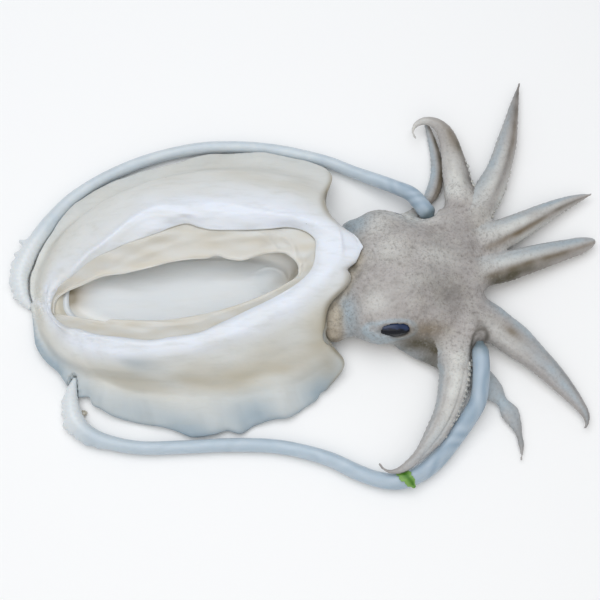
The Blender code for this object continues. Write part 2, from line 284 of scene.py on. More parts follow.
def patch(points, middle, wide, deep, turned=0.0):
    """A soft oval patch in the plan, wide by deep, turned by some degrees."""
    cos, sin = math.cos(math.radians(turned)), math.sin(math.radians(turned))
    x, y = points[:, 0] - middle[0], points[:, 1] - middle[1]
    return np.exp(-((x * cos + y * sin) / wide) ** 2 - ((y * cos - x * sin) / deep) ** 2)


# %% Wander and folds
def wander(points, size, seed, waves=10):
    """A smooth random height, mostly between -1 and 1.

    It is a sum of sine waves in random directions, each about size millimetres long.
    """
    dice = np.random.default_rng(seed)
    ways = dice.normal(size=(waves, 3))
    lengths = size * dice.uniform(0.7, 1.6, (waves, 1))
    ways *= 2 * math.pi / lengths / np.linalg.norm(ways, axis=1, keepdims=True)
    phases = dice.uniform(0, 2 * math.pi, waves)
    return np.sin(points @ ways.T + phases).sum(axis=1) / math.sqrt(waves)


def smooth_line(route, count):
    """A smooth curve through the route's own points, read at even steps (Catmull-Rom)."""
    route = np.array(route, float)
    knots = np.vstack([2 * route[0] - route[1], route, 2 * route[-1] - route[-2]])
    place = np.linspace(0, len(route) - 1, count)
    i = np.minimum(place.astype(int), len(route) - 2)
    t = (place - i)[:, None]
    a, b, c, d = (knots[i + k] for k in range(4))
    return 0.5 * (2 * b + (c - a) * t + (2 * a - 5 * b + 4 * c - d) * t ** 2
                  + (3 * b - a - 3 * c + d) * t ** 3)


def beside(points, line):
    """Distance to a line in the plan, plus on its left and minus on its right, and the
    share of the line's length at the nearest place."""
    closest = np.full(len(points), np.inf)
    share = np.zeros(len(points))
    side = np.ones(len(points))
    for k in range(len(line) - 1):
        a, step = line[k, :2], line[k + 1, :2] - line[k, :2]
        gone = points[:, :2] - a
        t = np.clip(gone @ step / (step @ step), 0, 1)
        off = np.linalg.norm(gone - t[:, None] * step, axis=1)
        closer = off < closest
        closest[closer] = off[closer]
        share[closer] = (k + t[closer]) / (len(line) - 1)
        side[closer] = np.sign(step[0] * gone[closer, 1] - step[1] * gone[closer, 0])
    return closest * side, share


Fold = namedtuple("Fold", "height left right line")


def along_fold(points, fold):
    """How much of a fold each point has, 0 to 1.

    It is exp(-(distance / width)**2), with one width on the left of the fold's line and
    another on the right, and it fades out at both ends of the line.
    """
    line = smooth_line(fold.line, 4 * len(fold.line))
    off, share = beside(points, line)
    width = np.where(off > 0, fold.left, fold.right)
    return np.exp(-(off / width) ** 2) * np.sin(np.clip(share, 0, 1) * math.pi) ** 0.5


# %% [markdown]
# ## Outlines of the mantle
#
# The mantle is the muscular body. Seen from above, its lips, crests, shoulders and fins are
# nested outlines, so it is modelled as one surface that passes through them all, from the
# floor of the slit outwards over the back, round the fin's edge and in again below. The
# outlines are the same as those of the solid frame, with a few more where the lips fold.

# %% Outlines
MANTLE_CENTRE = (-60.0, 10.0)
MANTLE_YAW = math.radians(7.0)
CREST_HEIGHT = 38
SPOKE_CROWDING = 0.7
SAC_WALL = 1.4
GAP = 0.45

# along = mid + half * cos, across = side + lean * cos + reach * |sin|**power * (1 + skew * cos)
# far and near are (reach, power, skew); heights are far, near, head end and tail end.
Outline = namedtuple("Outline", "mid half side lean far near heights steep")

SAC_FLOOR = Outline(-6, 62, -3, 2, (21, 0.8, -0.2), (21, 1.2, 0), (9.5, 9, 11, 9.5), 2)
SAC_BULGE = Outline(-7, 67, -2, 3, (26, 0.8, -0.2), (28, 1.2, 0), (17, 16, 18, 11), 2)
SAC_RIM = Outline(-9.4, 68, -7.1, 2.4, (17, 0.65, -0.24), (16, 1.6, 0.08), (26, 24, 27, 14), 2)
RECESS = Outline(-6, 72, -2, 4, (27, 0.85, -0.2), (29, 1.2, 0), (22, 20, 23, 13), 2)
LIP = Outline(-5.2, 77.6, -0.4, 7.4, (26.6, 0.97, -0.34), (34.6, 1.28, 0.02), (34, 30, 32, 16), 2)
CREST = Outline(-2.3, 83, 5.5, 2.5, (32, 1.2, -0.4), (47.4, 0.85, -0.2), (38, 31, 34, 15), 3)
SHOULDER = Outline(-1.5, 88.5, 3, 3, (58, 0.9, 0), (56, 0.8, -0.05), (28, 21, 33, 11), 5)
FIN_ROOT = Outline(0.5, 94, 2, 3, (68, 0.75, 0.1), (66, 0.78, 0.08), (13, 9, 31, 7), 8)
FIN_EDGE = Outline(3.5, 100, 2.6, 4.5, (80, 0.7, 0.04), (89.9, 0.84, 0.18), (5, 2.4, 28, 4.5), 8)
FIN_UNDER = Outline(3.5, 98, 2.6, 4.5, (78, 0.7, 0.04), (88, 0.84, 0.18), (2.6, 0, 23, 1.5), 8)
THROAT = Outline(-1, 91, 2.6, 3, (70, 0.75, 0.04), (78, 0.84, 0.15), (1, 0, 11, 0), 6)
BELLY = Outline(-2, 88, 2.6, 3, (60, 0.75, 0), (66, 0.84, 0.1), (0, 0, 0, 0), 2)


def spokes(count):
    """Angles round an outline, closer together at the head and tail ends."""
    even = np.linspace(0, 2 * math.pi, count, endpoint=False)
    return even - SPOKE_CROWDING / 2 * np.sin(2 * even)


def mantle_plan(along, across):
    """Places along and across the mantle, turned into the plan."""
    cos, sin = math.cos(MANTLE_YAW), math.sin(MANTLE_YAW)
    return MANTLE_CENTRE[0] + along * cos - across * sin, MANTLE_CENTRE[1] + along * sin + across * cos


def mantle_own(x, y):
    """Places in the plan, turned to along and across the mantle."""
    cos, sin = math.cos(MANTLE_YAW), math.sin(MANTLE_YAW)
    x, y = x - MANTLE_CENTRE[0], y - MANTLE_CENTRE[1]
    return x * cos + y * sin, y * cos - x * sin


def wavy(angle, waves):
    """How far out an edge stands at each angle: a smooth curve through (degrees, millimetres)."""
    knots = np.array(waves, float)
    knots = np.vstack([knots[-1:] - (360, 0), knots, knots[:1] + (360, 0)])
    curve = smooth_line(knots, 12 * len(knots))
    turn = np.degrees(angle) % 360
    return np.interp(turn, curve[:, 0], curve[:, 1])


def ring(shape, angle, grow=0.0, lift=0.0, scale=1.0, waves=None):
    """The points of one outline at each angle, wider by grow and waves, and higher by lift."""
    cos, sin = np.cos(angle), np.sin(angle)
    out = grow + (wavy(angle, waves) if waves else 0) + np.zeros(len(angle))
    sides = []
    for reach, power, skew in (shape.far, shape.near):
        sides.append((reach + out) * np.abs(sin) ** power * (1 + skew * cos))
    across = shape.side + (shape.lean * cos + np.where(sin > 0, sides[0], -sides[1])) * scale
    x, y = mantle_plan(shape.mid + (shape.half + out) * cos * scale, across)
    far, near, head, tail = shape.heights
    z = np.where(sin > 0, far, near)
    z = z + (head - z) * np.maximum(cos, 0) ** shape.steep
    z = z + (tail - z) * np.maximum(-cos, 0) ** 2
    return np.stack([x, y, z + lift], axis=1)


# %% Uneven edges: (degrees, millimetres out)
LIP_WAVES = (
    (0, -2.3), (8, -1.3), (19, 0.7), (30, 2.7), (40, 2.8), (49, -0.8), (59, -2.7), (68, -3.1),
    (76, -2.6), (82, -0.4), (87, 2.3), (93, 1.0), (101, -1.6), (117, -2.9), (133, -2.9),
    (148, -2.8), (169, 0.1),
    (190, 0.4), (206, 0.5), (216, -1.3), (226, -0.6), (240, -0.4), (253, 1.7), (262, 1.1),
    (274, 1.4), (283, -0.5), (297, -1.5), (312, -0.1), (323, 1.5), (333, 1.8), (350, -1.8),
)
RIM_WAVES = (
    (10, 0.6), (23, 2.4), (33, 4.4), (43, 2.6), (49, -0.6), (55, -3.1), (64, -1.7), (70, 1.0),
    (75, -0.5), (83, -0.4), (93, -1.2), (103, -2.6), (117, -3.1), (124, -2.0), (131, -1.2),
    (146, -1.1), (160, 1.2), (170, 3.2), (183, 4.3), (194, 2.0), (203, 0.5), (216, 0.4),
    (227, 1.3), (232, 1.9), (236, -0.1), (255, 1.1), (264, 1.5), (279, 1.1), (291, 1.1),
    (305, 1.3), (325, 2.1), (339, 3.2), (355, 0.4),
)
CREST_WAVES = (
    (20, 3), (45, 5.7), (63, 2.5), (79, -1), (93, -2.2), (103, -1.6), (112, -4.7), (122, -7.1),
    (138, -6.8), (155, -3), (175, 0), (220, -1), (260, 0), (300, 1), (340, 0),
)
FIN_WAVES = (
    (15, 0), (60, 0.8), (75, -0.4), (86, 0.4), (94, -1.8), (102, -2.2), (110, -0.5), (150, 0.5),
    (165, 0.3), (181, -1.0), (188, -0.6), (194, 0.9), (199, 0.9), (204, 0), (209, -1.2),
    (215, 0.6), (221, 3.0), (225, -0.8), (228, 2.3), (231, 2.2), (234, 2.9), (238, 2.8),
    (245, 1.6), (253, 0.6), (258, 2.0), (262, 3.6), (269, 1.5), (273, -0.5), (277, 1.6),
    (282, -1.8), (289, -2.6), (294, -0.8), (301, -2.3), (306, -2.6), (309, -4.2), (313, -2.2),
    (322, 0), (340, 0),
)


# %% [markdown]
# ## The front of the mantle
#
# In front the mantle ends in a free margin: a lobe over the neck, a shelf beside it, and the
# front corner of the near fin. Cutting a fine mesh with a boolean leaves a hard, ragged edge.
# Here the points beyond the margin are squeezed up against it instead, which rounds the edge
# the way flesh is round, and the points inside the head's own swellings are pushed back, so
# that the neck has its hollow.

# %% Front margin and neck hollow
MARGIN_BASE = 74.6
MARGIN_SLOPE = 0.1
MARGIN_BUMPS = ((2.6, 15.4, 21), (-17.5, 7.2, 8.4), (-58, 10, 11.3), (57, 14, 7))
NOTCH_BUMPS = ((-2.0, 4.5, 1.0), (5.5, 3.4, -1.0), (-9.0, 2.2, -2.4))    # the torn edge of the lobe
TRIM_LEAN = 0.12
TRIM_LEVEL = 18.0
TRIM_ROUND = 3.5                 # how far back the squeeze begins

# Swellings of the head: centre, and radii along x, y and z.
LUMPS = {
    "skull": ((56, 13, 18), (32, 32, 17.5)), "near_cheek": ((46, -8, 15.2), (22, 21, 14.7)),
    "far_cheek": ((47, 33.5, 15.2), (21, 20, 14.7)), "near_shoulder": ((72, -12, 12.5), (21, 17, 12)),
    "crown": ((82, 17, 13.2), (25, 37, 12.7)), "neck": ((36, 10, 14.5), (23, 29, 11.5)),
    "collar": ((20, -8, 10.5), (13, 19.5, 9)), "near_web": ((98, -17, 11.5), (11, 12.5, 11)),
    "far_web": ((82.5, 46.5, 14.2), (10, 9.5, 8)), "far_root": ((63, 47.5, 8), (9, 8, 7.5)),
    "far_flap": ((31, 43, 9), (9, 8, 8)),
}


def front_margin(across):
    """How far forward the mantle reaches at each place across it."""
    margin = MARGIN_BASE + MARGIN_SLOPE * across
    for middle, width, reach in MARGIN_BUMPS + NOTCH_BUMPS:
        margin = margin + reach * np.exp(-((across - middle) / width) ** 2)
    return margin


def squeeze(room, soft):
    """Distances kept above zero: unchanged from soft up, and fading to zero below it."""
    return np.where(room > soft, room, soft * np.exp(np.minimum(room / soft - 1, 0)))


def trim_front(points):
    """Squeeze the points that lie beyond the front margin back behind it."""
    along, across = mantle_own(points[:, 0], points[:, 1])
    limit = front_margin(across) + TRIM_LEAN * (points[:, 2] - TRIM_LEVEL)
    along = limit - squeeze(limit - along, TRIM_ROUND)
    x, y = mantle_plan(along, across)
    return np.stack([x, y, points[:, 2]], axis=1)


def clear_of_lumps(points, names, gap):
    """Push the points inside the named swellings back to the tail side of each."""
    points = points.copy()
    for name in names:
        centre, radii = (np.array(v, float) for v in LUMPS[name])
        off = (points - centre) / (radii + gap)
        inside = (off ** 2).sum(axis=1) < 1
        room = np.sqrt(1 - (off[inside, 1:] ** 2).sum(axis=1))
        points[inside, 0] = np.minimum(points[inside, 0], centre[0] - room * (radii[0] + gap))
    return points


# %% [markdown]
# ## Tentacle routes
#
# The routes come before the mantle, because the fins are tucked in beside the tentacles.

# %% Routes: plan place, height of the centre line, thickness
FAR_TENTACLE = (
    (79, 46, 14, 10), (74, 54, 14, 10.2), (66, 65, 13, 9.2), (56, 71, 11, 8.6), (44, 77, 8.5, 8.2),
    (31, 83.5, 6, 7.6), (15, 91, 4.5, 7.5), (-10, 97.5, 4.2, 7.5), (-36, 100.5, 4.1, 7.5),
    (-62, 99.5, 4.1, 7.5), (-90, 92.5, 4.1, 7.5), (-115, 81, 4.1, 7.5), (-134, 67.5, 4.2, 8),
    (-146, 53.5, 4.8, 9.2), (-154, 40, 5.6, 10.8), (-160, 27, 6.4, 12.4), (-163, 16, 6.3, 12),
    (-161, 5.5, 5, 9), (-155.8, -2.5, 3, 4),
)
NEAR_TENTACLE = (
    (98, -13, 14.6, 9), (101, -23, 14.8, 9.8), (101.7, -34, 14.2, 10), (101.6, -46, 13, 10),
    (99.5, -60, 10.8, 10), (93, -71, 8, 10), (84.5, -82.5, 6, 10), (75.5, -93, 5.2, 10),
    (66, -100.3, 5, 9.9), (55, -104.3, 4.9, 9.6), (44, -103.6, 4.6, 9.2), (32, -99.4, 4.5, 9),
    (14, -91, 4.3, 8.5), (-11, -84.9, 4.1, 8.1), (-37, -83.8, 4.1, 8), (-64, -85, 4, 7.7),
    (-88, -85.5, 4.1, 7.8), (-106, -82.5, 4.4, 8.4), (-118, -78, 5, 9.8), (-126, -70, 5.7, 11.2),
    (-129, -60, 5, 9.8), (-129, -51, 3.6, 6.2), (-128, -44.5, 2.2, 2.6),
)

TUCK_ROUND = 0.8                 # how softly the fin gives way beside a tentacle
FIN_THINNEST = 0.35              # the height that a pressed fin keeps


def heading(line, axes=2):
    """The direction of a line at each of its places, in the plan or in all three axes."""
    step = np.gradient(line[:, :axes], axis=0)
    return step / np.linalg.norm(step, axis=1, keepdims=True)


def nearest_on(points, line, axes=2):
    """The nearest point of a line to each place, in the plan or in space: its number, and how far."""
    reach = np.linalg.norm(points[:, None, :axes] - line[None, :, :axes], axis=2)
    return reach.argmin(axis=1), reach.min(axis=1)


def tuck_beside(points, route, gap, reach=24.0):
    """Move points that would lie in or beyond a tentacle back to the mantle's side of it."""
    line = smooth_line(route, 120)
    step = heading(line)
    side = np.stack([-step[:, 1], step[:, 0]], axis=1)
    side *= np.sign(((np.array(MANTLE_CENTRE) - line[:, :2]) * side).sum(axis=1, keepdims=True))
    nearest, far_off = nearest_on(points, line)
    room = ((points[:, :2] - line[nearest, :2]) * side[nearest]).sum(axis=1)
    room -= line[nearest, 3] / 2 + gap
    between = (nearest > 0) & (nearest < len(line) - 1) & (far_off < reach)
    push = np.where(between, squeeze(room, TUCK_ROUND) - room, 0)
    moved = points.copy()
    moved[:, :2] += push[:, None] * side[nearest]
    return moved


def press_under(points, route, gap):
    """Press points down under a tentacle that lies over them."""
    line = smooth_line(route, 160)
    nearest, far_off = nearest_on(points, line)
    radius = line[nearest, 3] / 2 + gap
    drop = np.sqrt(np.maximum(radius ** 2 - far_off ** 2, 0))
    top = np.where(far_off < radius, line[nearest, 2] - drop, np.inf)
    moved = points.copy()
    moved[:, 2] = np.minimum(points[:, 2], np.maximum(top, FIN_THINNEST))
    return moved


# %% [markdown]
# ## The mantle
#
# Fifteen rings, then the folds, then the trims. The rows are close together where the surface
# shows and folds, and far apart inside and below. The folds are lines picked out on the real
# animal: the far lip is doubled towards the tail and stepped towards the head, the near lip
# has one crisp ridge, and soft ridges run lengthwise down both slopes.

# %% Mantle surface
MANTLE_SPOKES = 620
UNDER_LIP_OUT, UNDER_LIP_DOWN = 2.6, -4.5
LIP_EDGE_DOWN = -1.3
LIP_TOP_OUT = 1.6
MANTLE_ROWS = (2, 3, 4, 8, 6, 5, 14, 32, 26, 24, 4, 6, 4, 4)

angle = spokes(MANTLE_SPOKES)
hollow = SAC_WALL + GAP
mantle_rings = [
    ring(SAC_FLOOR, angle, hollow, -hollow, 0.5), ring(SAC_FLOOR, angle, hollow, -hollow),
    ring(SAC_BULGE, angle, hollow + 0.3), ring(RECESS, angle, hollow),
    ring(LIP, angle, UNDER_LIP_OUT, UNDER_LIP_DOWN, waves=LIP_WAVES),
    ring(LIP, angle, 0, LIP_EDGE_DOWN, waves=LIP_WAVES),
    ring(LIP, angle, LIP_TOP_OUT, waves=LIP_WAVES), ring(CREST, angle, waves=CREST_WAVES),
    ring(SHOULDER, angle), ring(FIN_ROOT, angle), ring(FIN_EDGE, angle, waves=FIN_WAVES),
    ring(FIN_UNDER, angle, waves=FIN_WAVES), ring(THROAT, angle),
    ring(BELLY, angle), ring(BELLY, angle, scale=0.5),
]
surface, row_number = through(mantle_rings, MANTLE_ROWS)
mantle_rows, mantle_columns = surface.shape[:2]
points = close(surface)
ring_of = np.append(np.repeat(row_number, mantle_columns), [0, len(MANTLE_ROWS)])
spoke_of = np.append(np.tile(angle, mantle_rows), [0, 0])
print("mantle rows and spokes:", mantle_rows, mantle_columns)

# %% Folds of the mantle
# Left of a line is the far side where the line runs towards the head.
FAR_RIDGE = Fold(1.7, 2.2, 1.5, (
    (-133, 8), (-129, 13), (-121, 21.4), (-112.6, 26.3), (-104.5, 32.4), (-96.3, 38.6),
    (-85.2, 44.2), (-76.7, 45.4), (-71, 44.4), (-62.4, 41.8), (-53.8, 39.2)))
FAR_INNER_RIDGE = Fold(0.9, 1.6, 1.5, (
    (-110, 24.5), (-101.8, 31.5), (-90.8, 38.6), (-83, 41), (-76, 41.2), (-68, 39), (-58, 35.5)))
FAR_STEP = Fold(1.0, 1.5, 4.0, (
    (-54, 48), (-48.3, 46.8), (-36.9, 45.6), (-28.4, 43.9), (-14.2, 41.9), (0, 40), (8, 37)))
NEAR_RIDGE = Fold(0.9, 3.5, 2.4, (
    (-124, -20), (-112, -27), (-97, -31.4), (-80, -31.6), (-62, -28.6), (-40, -21.4), (-18, -10)))
NEAR_SHOULDER = Fold(0.8, 3.0, 2.4, (
    (-124, -29), (-116, -34.5), (-104.7, -38.4), (-82.5, -41.4), (-55.2, -35.4), (-27.8, -23),
    (-5.6, -10.2)))
NEAR_LOW = Fold(0.7, 3.0, 3.4, (
    (-113.7, -41.7), (-94, -47.5), (-66.3, -49.2), (-33.2, -45.2), (0, -34.7), (12.3, -28.8)))
FIN_CREASE = Fold(-0.9, 2.6, 1.8, (
    (-128, -28), (-121.8, -36.5), (-112.8, -45.5), (-95.6, -53.3), (-67.4, -57), (-39.3, -57),
    (-16.9, -53), (0, -47.6), (20, -36)))
FAR_SLOPE = Fold(0.8, 3.5, 5.0, (
    (-141, 15.6), (-133.6, 29), (-117.4, 46.4), (-98, 58), (-63.6, 63.5), (-28.9, 62), (5.8, 54)))
FAR_LOW = Fold(-0.7, 4.0, 3.0, (
    (-146, 22), (-138.3, 37.3), (-122.1, 56), (-93.7, 70.5), (-58.7, 76), (-17.6, 77), (8, 74)))
TAIL_PUCKERS = Fold(0.9, 1.6, 1.4, ((-156, 3), (-151, -1.5), (-145.2, -6.2), (-137, -11)))
MANTLE_FOLDS = (FAR_RIDGE, FAR_INNER_RIDGE, FAR_STEP, NEAR_RIDGE, NEAR_SHOULDER, NEAR_LOW,
                FIN_CREASE, FAR_SLOPE, FAR_LOW, TAIL_PUCKERS)
FIN_RIPPLE = 1.1                 # how high the fin's edge waves
FIN_PLEAT = 0.1

on_top = fade(ring_of, 5.2, 6.0) * (1 - fade(ring_of, 9.6, 10.0))
for fold in MANTLE_FOLDS:
    points[:, 2] += fold.height * along_fold(points, fold) * on_top
points[:, 2] += (0.35 * wander(points, 26, 3) + 0.16 * wander(points, 9, 4)) * on_top
puckered = patch(points, (-150, -3), 9, 8) * on_top
points[:, 2] += puckered * (0.8 * wander(points, 5, 5) + 0.4 * wander(points, 2.6, 7))
torn = patch(points, (-118, -25), 18, 5, -33) * near(ring_of, 6.3, 0.45)
points[:, 2] += torn * (0.5 * wander(points * (1, 2, 1), 5, 8) + 0.3 * wander(points, 2.4, 9))
fin = fade(ring_of, 8.6, 9.8) * (1 - fade(ring_of, 11, 12)) * fade(-np.cos(spoke_of), -0.75, -0.5)
lengthwise = np.degrees(spoke_of)
ripple = np.sin(lengthwise * 0.33) + 0.7 * np.sin(lengthwise * 0.19 + 2) + 0.4 * np.sin(lengthwise * 0.71)
pleat = np.sin(lengthwise * 1.9 + 3 * wander(points, 30, 6))
points[:, 2] += fin * (FIN_RIPPLE * (ripple + 1.2) / 2 + FIN_PLEAT * pleat)

# %% Trim and tuck the mantle
points = trim_front(points)
points = clear_of_lumps(points, LUMPS, 2 * GAP)
points = tuck_beside(points, FAR_TENTACLE, 0.2)
points = tuck_beside(points, NEAR_TENTACLE[:-4], 0.4, 9.0)
points = press_under(points, NEAR_TENTACLE[-4:], 0.2)
points[:, 2] = np.clip(points[:, 2], 0, CREST_HEIGHT)
mantle_mesh = new_mesh("mantle_flesh", points, loft_faces(mantle_rows, mantle_columns))
mantle_points = points

# %% Where the mantle's colours lie
# Pale bluish white on the lips and the front lobe, in part a painted highlight, with more
# painted highlight along the ridges; beige inside the lips and along the root of the fin, in
# places painted shade; blue-grey where the fin is thin, with a band of painted shade below the
# near shoulder fold; and brown along the front edge, with painted shade at the near front
# corner and by the tail.
def mantle_masks(points):
    """The weight of each colour at each point of the mantle."""
    along, across = mantle_own(points[:, 0], points[:, 1])
    cloud = 0.5 + 0.5 * wander(points, 34, 11)
    grain = 0.5 + 0.5 * wander(points * (0.35, 1, 1), 9, 12)
    near_side = fade(-across, 0, 12)
    margin = front_margin(across) - along
    upper = fade(ring_of, 4.9, 5.5) * (1 - fade(ring_of, 10, 10.6))
    lips = upper * (1 - fade(ring_of, 7.0, 7.9))
    lips *= 1 - 0.6 * near(np.degrees(spoke_of), 138, 36)
    lobe = near(across, 4, 21) * fade(along, 58, 78) * fade(ring_of, 5.5, 6.2)
    # The lips and the lobe are pale bluish white, in part a painted highlight; the ridges add a painted
    # highlight along the far ridge, the far step and the tail puckers.
    ridges = sum(along_fold(points, fold) for fold in (FAR_RIDGE, FAR_STEP, TAIL_PUCKERS))
    bluish_white_and_highlight = np.maximum(lips * (0.75 + 0.25 * grain), lobe) + 0.5 * ridges * upper
    # Beige inside the lips, in part painted shade where the lips overhang the recess.
    inside = 1 - fade(ring_of, 4.3, 5.3)
    # A beige band along the root of the near fin, which also stands in for painted shade low on the near
    # flank.
    root_band = near(ring_of, 8.75, 0.5) * near_side * fade(along, -75, -30) * 0.5
    slope = upper * fade(ring_of, 7.6, 8.1) * (1 - fade(ring_of, 8.8, 9.3))
    beige_and_shade = inside * 0.7 + root_band * (0.6 + 0.4 * grain) + slope * cloud * (0.25 + 0.2 * near_side)
    thin = fade(ring_of, 8.9, 9.75) * (0.15 + 0.85 * near_side)
    # Painted shade: a blue-grey band just below the near shoulder fold.
    shade_below_fold = patch(points, (-89, -42.5), 11, 4.5, -4) * upper * (0.5 + 0.5 * grain)
    tail_side = patch(points, (-134, -30), 12, 16, 30) * fade(ring_of, 8.2, 9) * 0.7
    blue = thin * (0.55 + 0.45 * cloud) + 0.5 * shade_below_fold + tail_side
    rim = fade(ring_of, 9.7, 10.0) * near_side
    # Brown along the front edge of the margin; the three patches below it are painted shade at the near front
    # corner and beside the tail.
    brown_edge_and_shade = near(margin, 0, 2.6) * (1 - near(across, 3, 17)) * upper * 0.75
    brown_edge_and_shade += patch(points, (17, -37), 6, 11, 10) * upper * 0.35
    brown_edge_and_shade += patch(points, (8, -42), 14, 9, 20) * upper * 0.3
    brown_edge_and_shade += patch(points, (-132, -18), 9, 5, 50) * upper * 0.25
    return {"bluish_white_and_highlight": bluish_white_and_highlight, "beige_and_shade": beige_and_shade, "blue": blue, "rim": rim * 0.6, "brown_edge_and_shade": brown_edge_and_shade}


mantle = new_piece("mantle_flesh", mantle_mesh, mantle_masks(mantle_points))

# %% [markdown]
# ## The shell sac
#
# The sac that held the cuttlebone is a thin membrane: a smooth floor, walls that bulge out
# under the lips, and a torn shelf that runs back over the floor to a thin free edge. The shelf
# sags in folds that run in from the lip, and the floor keeps a faint oval where the thick end
# of the bone lay.

# %% Shell sac surface
SAC_SPOKES = 560
SAC_ROWS = (10, 24, 16, 6, 3, 2, 8, 14, 4, 5, 8, 6, 4, 2)
TUCK_IN, TUCK_DOWN = 0.6, -2.9    # how the membrane tucks in under the lip
BEHIND_OUT, BEHIND_DOWN = -0.4, -4.6


def between_rings(inner, outer, share, lift):
    """The ring at some share of the way from one ring to another, a little higher."""
    return inner + (outer - inner) * share + (0, 0, lift)


angle = spokes(SAC_SPOKES)
tuck_down = TUCK_DOWN + 1.3 * near(np.degrees(angle), 142, 45) + 0.6 * near(np.degrees(angle), 250, 50)
tucked = ring(LIP, angle, TUCK_IN, tuck_down, waves=LIP_WAVES)
sac_rings = [
    ring(SAC_FLOOR, angle, 0, 0.8, 0.4), ring(SAC_FLOOR, angle, 0, 0.8, 0.8), ring(SAC_FLOOR, angle, 0, 0.8),
    ring(SAC_BULGE, angle), ring(SAC_RIM, angle, 3.5, -2.2, waves=RIM_WAVES),
    ring(SAC_RIM, angle, 0, -0.7, waves=RIM_WAVES), ring(SAC_RIM, angle, 0.5, 0, waves=RIM_WAVES),
    between_rings(ring(SAC_RIM, angle, 0.5, waves=RIM_WAVES), tucked, 0.3, -0.5), tucked,
    ring(LIP, angle, BEHIND_OUT, BEHIND_DOWN, waves=LIP_WAVES),
    ring(RECESS, angle, -1.6, -1.5),
    ring(SAC_BULGE, angle, SAC_WALL, 1), ring(SAC_FLOOR, angle, SAC_WALL, -SAC_WALL),
    ring(SAC_FLOOR, angle, SAC_WALL, -SAC_WALL, 0.5), ring(SAC_FLOOR, angle, 0, -SAC_WALL, 0.1),
]
surface, row_number = through(sac_rings, SAC_ROWS)
sac_rows, sac_columns = surface.shape[:2]
points = close(surface)
sac_ring = np.append(np.repeat(row_number, sac_columns), [0, len(SAC_ROWS)])
sac_spoke = np.degrees(np.append(np.tile(angle, sac_rows), [0, 0]))

# %% Folds of the membrane
SHELF_FOLDS = (
    Fold(0.7, 1.2, 2.4, ((-62, 34), (-78, 31), (-96, 24), (-112, 14.5))),
    Fold(0.6, 2.4, 1.2, ((-58, 30), (-74, 26.5), (-92, 19.5), (-106, 13))),
    Fold(0.6, 1.2, 2.2, ((-6, 31), (-24, 31), (-42, 29.5), (-58, 28))),
    Fold(0.6, 1.4, 2.0, ((-120, -10), (-100, -19), (-80, -23), (-56, -21))),
    Fold(0.5, 1.0, 1.4, ((-100, -15.5), (-84, -18.5), (-66, -18.6), (-48, -15))),
    Fold(0.8, 1.2, 1.6, ((-26, 34), (-20, 31), (-15, 27), (-12, 23))),
    Fold(0.7, 1.4, 1.0, ((-16, 34), (-9, 31), (-4, 26), (-2, 20))),
)
OVAL_PLACE, OVAL_RADII = (-17.5, 12), (9.5, 7.5)

shelf = fade(sac_ring, 5.6, 6.2) * (1 - fade(sac_ring, 7.9, 8.3))
for fold in SHELF_FOLDS:
    points[:, 2] += fold.height * along_fold(points, fold) * shelf
points[:, 2] += 0.3 * wander(points * (0.5, 1, 1), 9, 21) * shelf
inner_floor = 1 - fade(sac_ring, 1.6, 2.2)
oval = np.hypot(*((points[:, i] - OVAL_PLACE[i]) / OVAL_RADII[i] for i in (0, 1)))
points[:, 2] += (0.35 * near(oval, 1, 0.12) + 0.12 * wander(points * (0.35, 1, 1), 9, 22)) * inner_floor
head_end = near((sac_spoke + 180) % 360 - 180, 12, 26)
wall = fade(sac_ring, 2.4, 3.0) * (1 - fade(sac_ring, 4.0, 4.6))
pleats = np.sin(np.radians(sac_spoke) * 44 + 2 * wander(points, 12, 23))
points[:, 0] += 0.5 * pleats * wall * head_end
sac_mesh = new_mesh("shell_sac_membrane", points, loft_faces(sac_rows, sac_columns))


# %% Where the membrane's colours lie
def sac_masks(points):
    """The weight of each colour at each point of the sac."""
    grain = 0.5 + 0.5 * wander(points * (0.3, 1, 1), 7, 24)
    free_edge = near(sac_ring, 5.2, 0.75)
    turn = (sac_spoke + 180) % 360 - 180
    under = fade(sac_ring, 1.9, 2.6) * (1 - fade(sac_ring, 4.2, 4.9))
    floor_end = patch(points, (-136, 1), 12, 8) * (1 - fade(sac_ring, 4.2, 5))
    flap = near(turn, 33, 22) * fade(sac_ring, 2.2, 2.8) * (1 - fade(sac_ring, 4.3, 4.8))
    hollow_end = patch(points, (-4, 13), 13, 8, 30) * (1 - fade(sac_ring, 3.2, 3.8))
    # Beige on the shelf, and painted shade on the walls under it.
    beige_and_shade = shelf * (0.5 + 0.35 * grain) + 0.3 * under
    # Painted shade: brown in the pit at the tail end of the floor, in the hollow at the head end and faintly
    # under the far shelf towards the tail; the flap of wall at the head end is browned too.
    brown_and_shade = 1.3 * floor_end + 0.4 * flap + 0.7 * hollow_end
    brown_and_shade += 0.1 * near(turn, 150, 40) * under
    clear = near(oval, 0.55, 0.5) * inner_floor * 0.5 + grain * inner_floor * 0.25
    # Painted light: the edge of the floor and the walls under the shelf are lightened against the shade that
    # the shelf casts on them.
    lit = under + fade(sac_ring, 1.2, 2.2) * (1 - fade(sac_ring, 4.2, 4.9))
    return {"lit": lit, "cream": free_edge * 0.8, "beige_and_shade": beige_and_shade, "brown_and_shade": brown_and_shade, "clear": clear}


sac = new_piece("shell_sac_membrane", sac_mesh, sac_masks(points))

# %% [markdown]
# ## Head and arms
#
# The head is a few soft swellings that flow into each other and into eight arms. Each arm is
# a profile carried along a curved line. They are made one skin by a voxel remesh, which is
# how a sculptor would join lumps of clay, and then relaxed where they meet, so that no crease
# shows between one lump and the next.

# %% Arm lines
Arm = namedtuple("Arm", "root heading bend curl curl_from length width taper heights flatness")
ARM_TIP_WIDTH = 1.8
ARM_INSET = 14
ARM_STEPS = 56
ARM_SIDES = 40

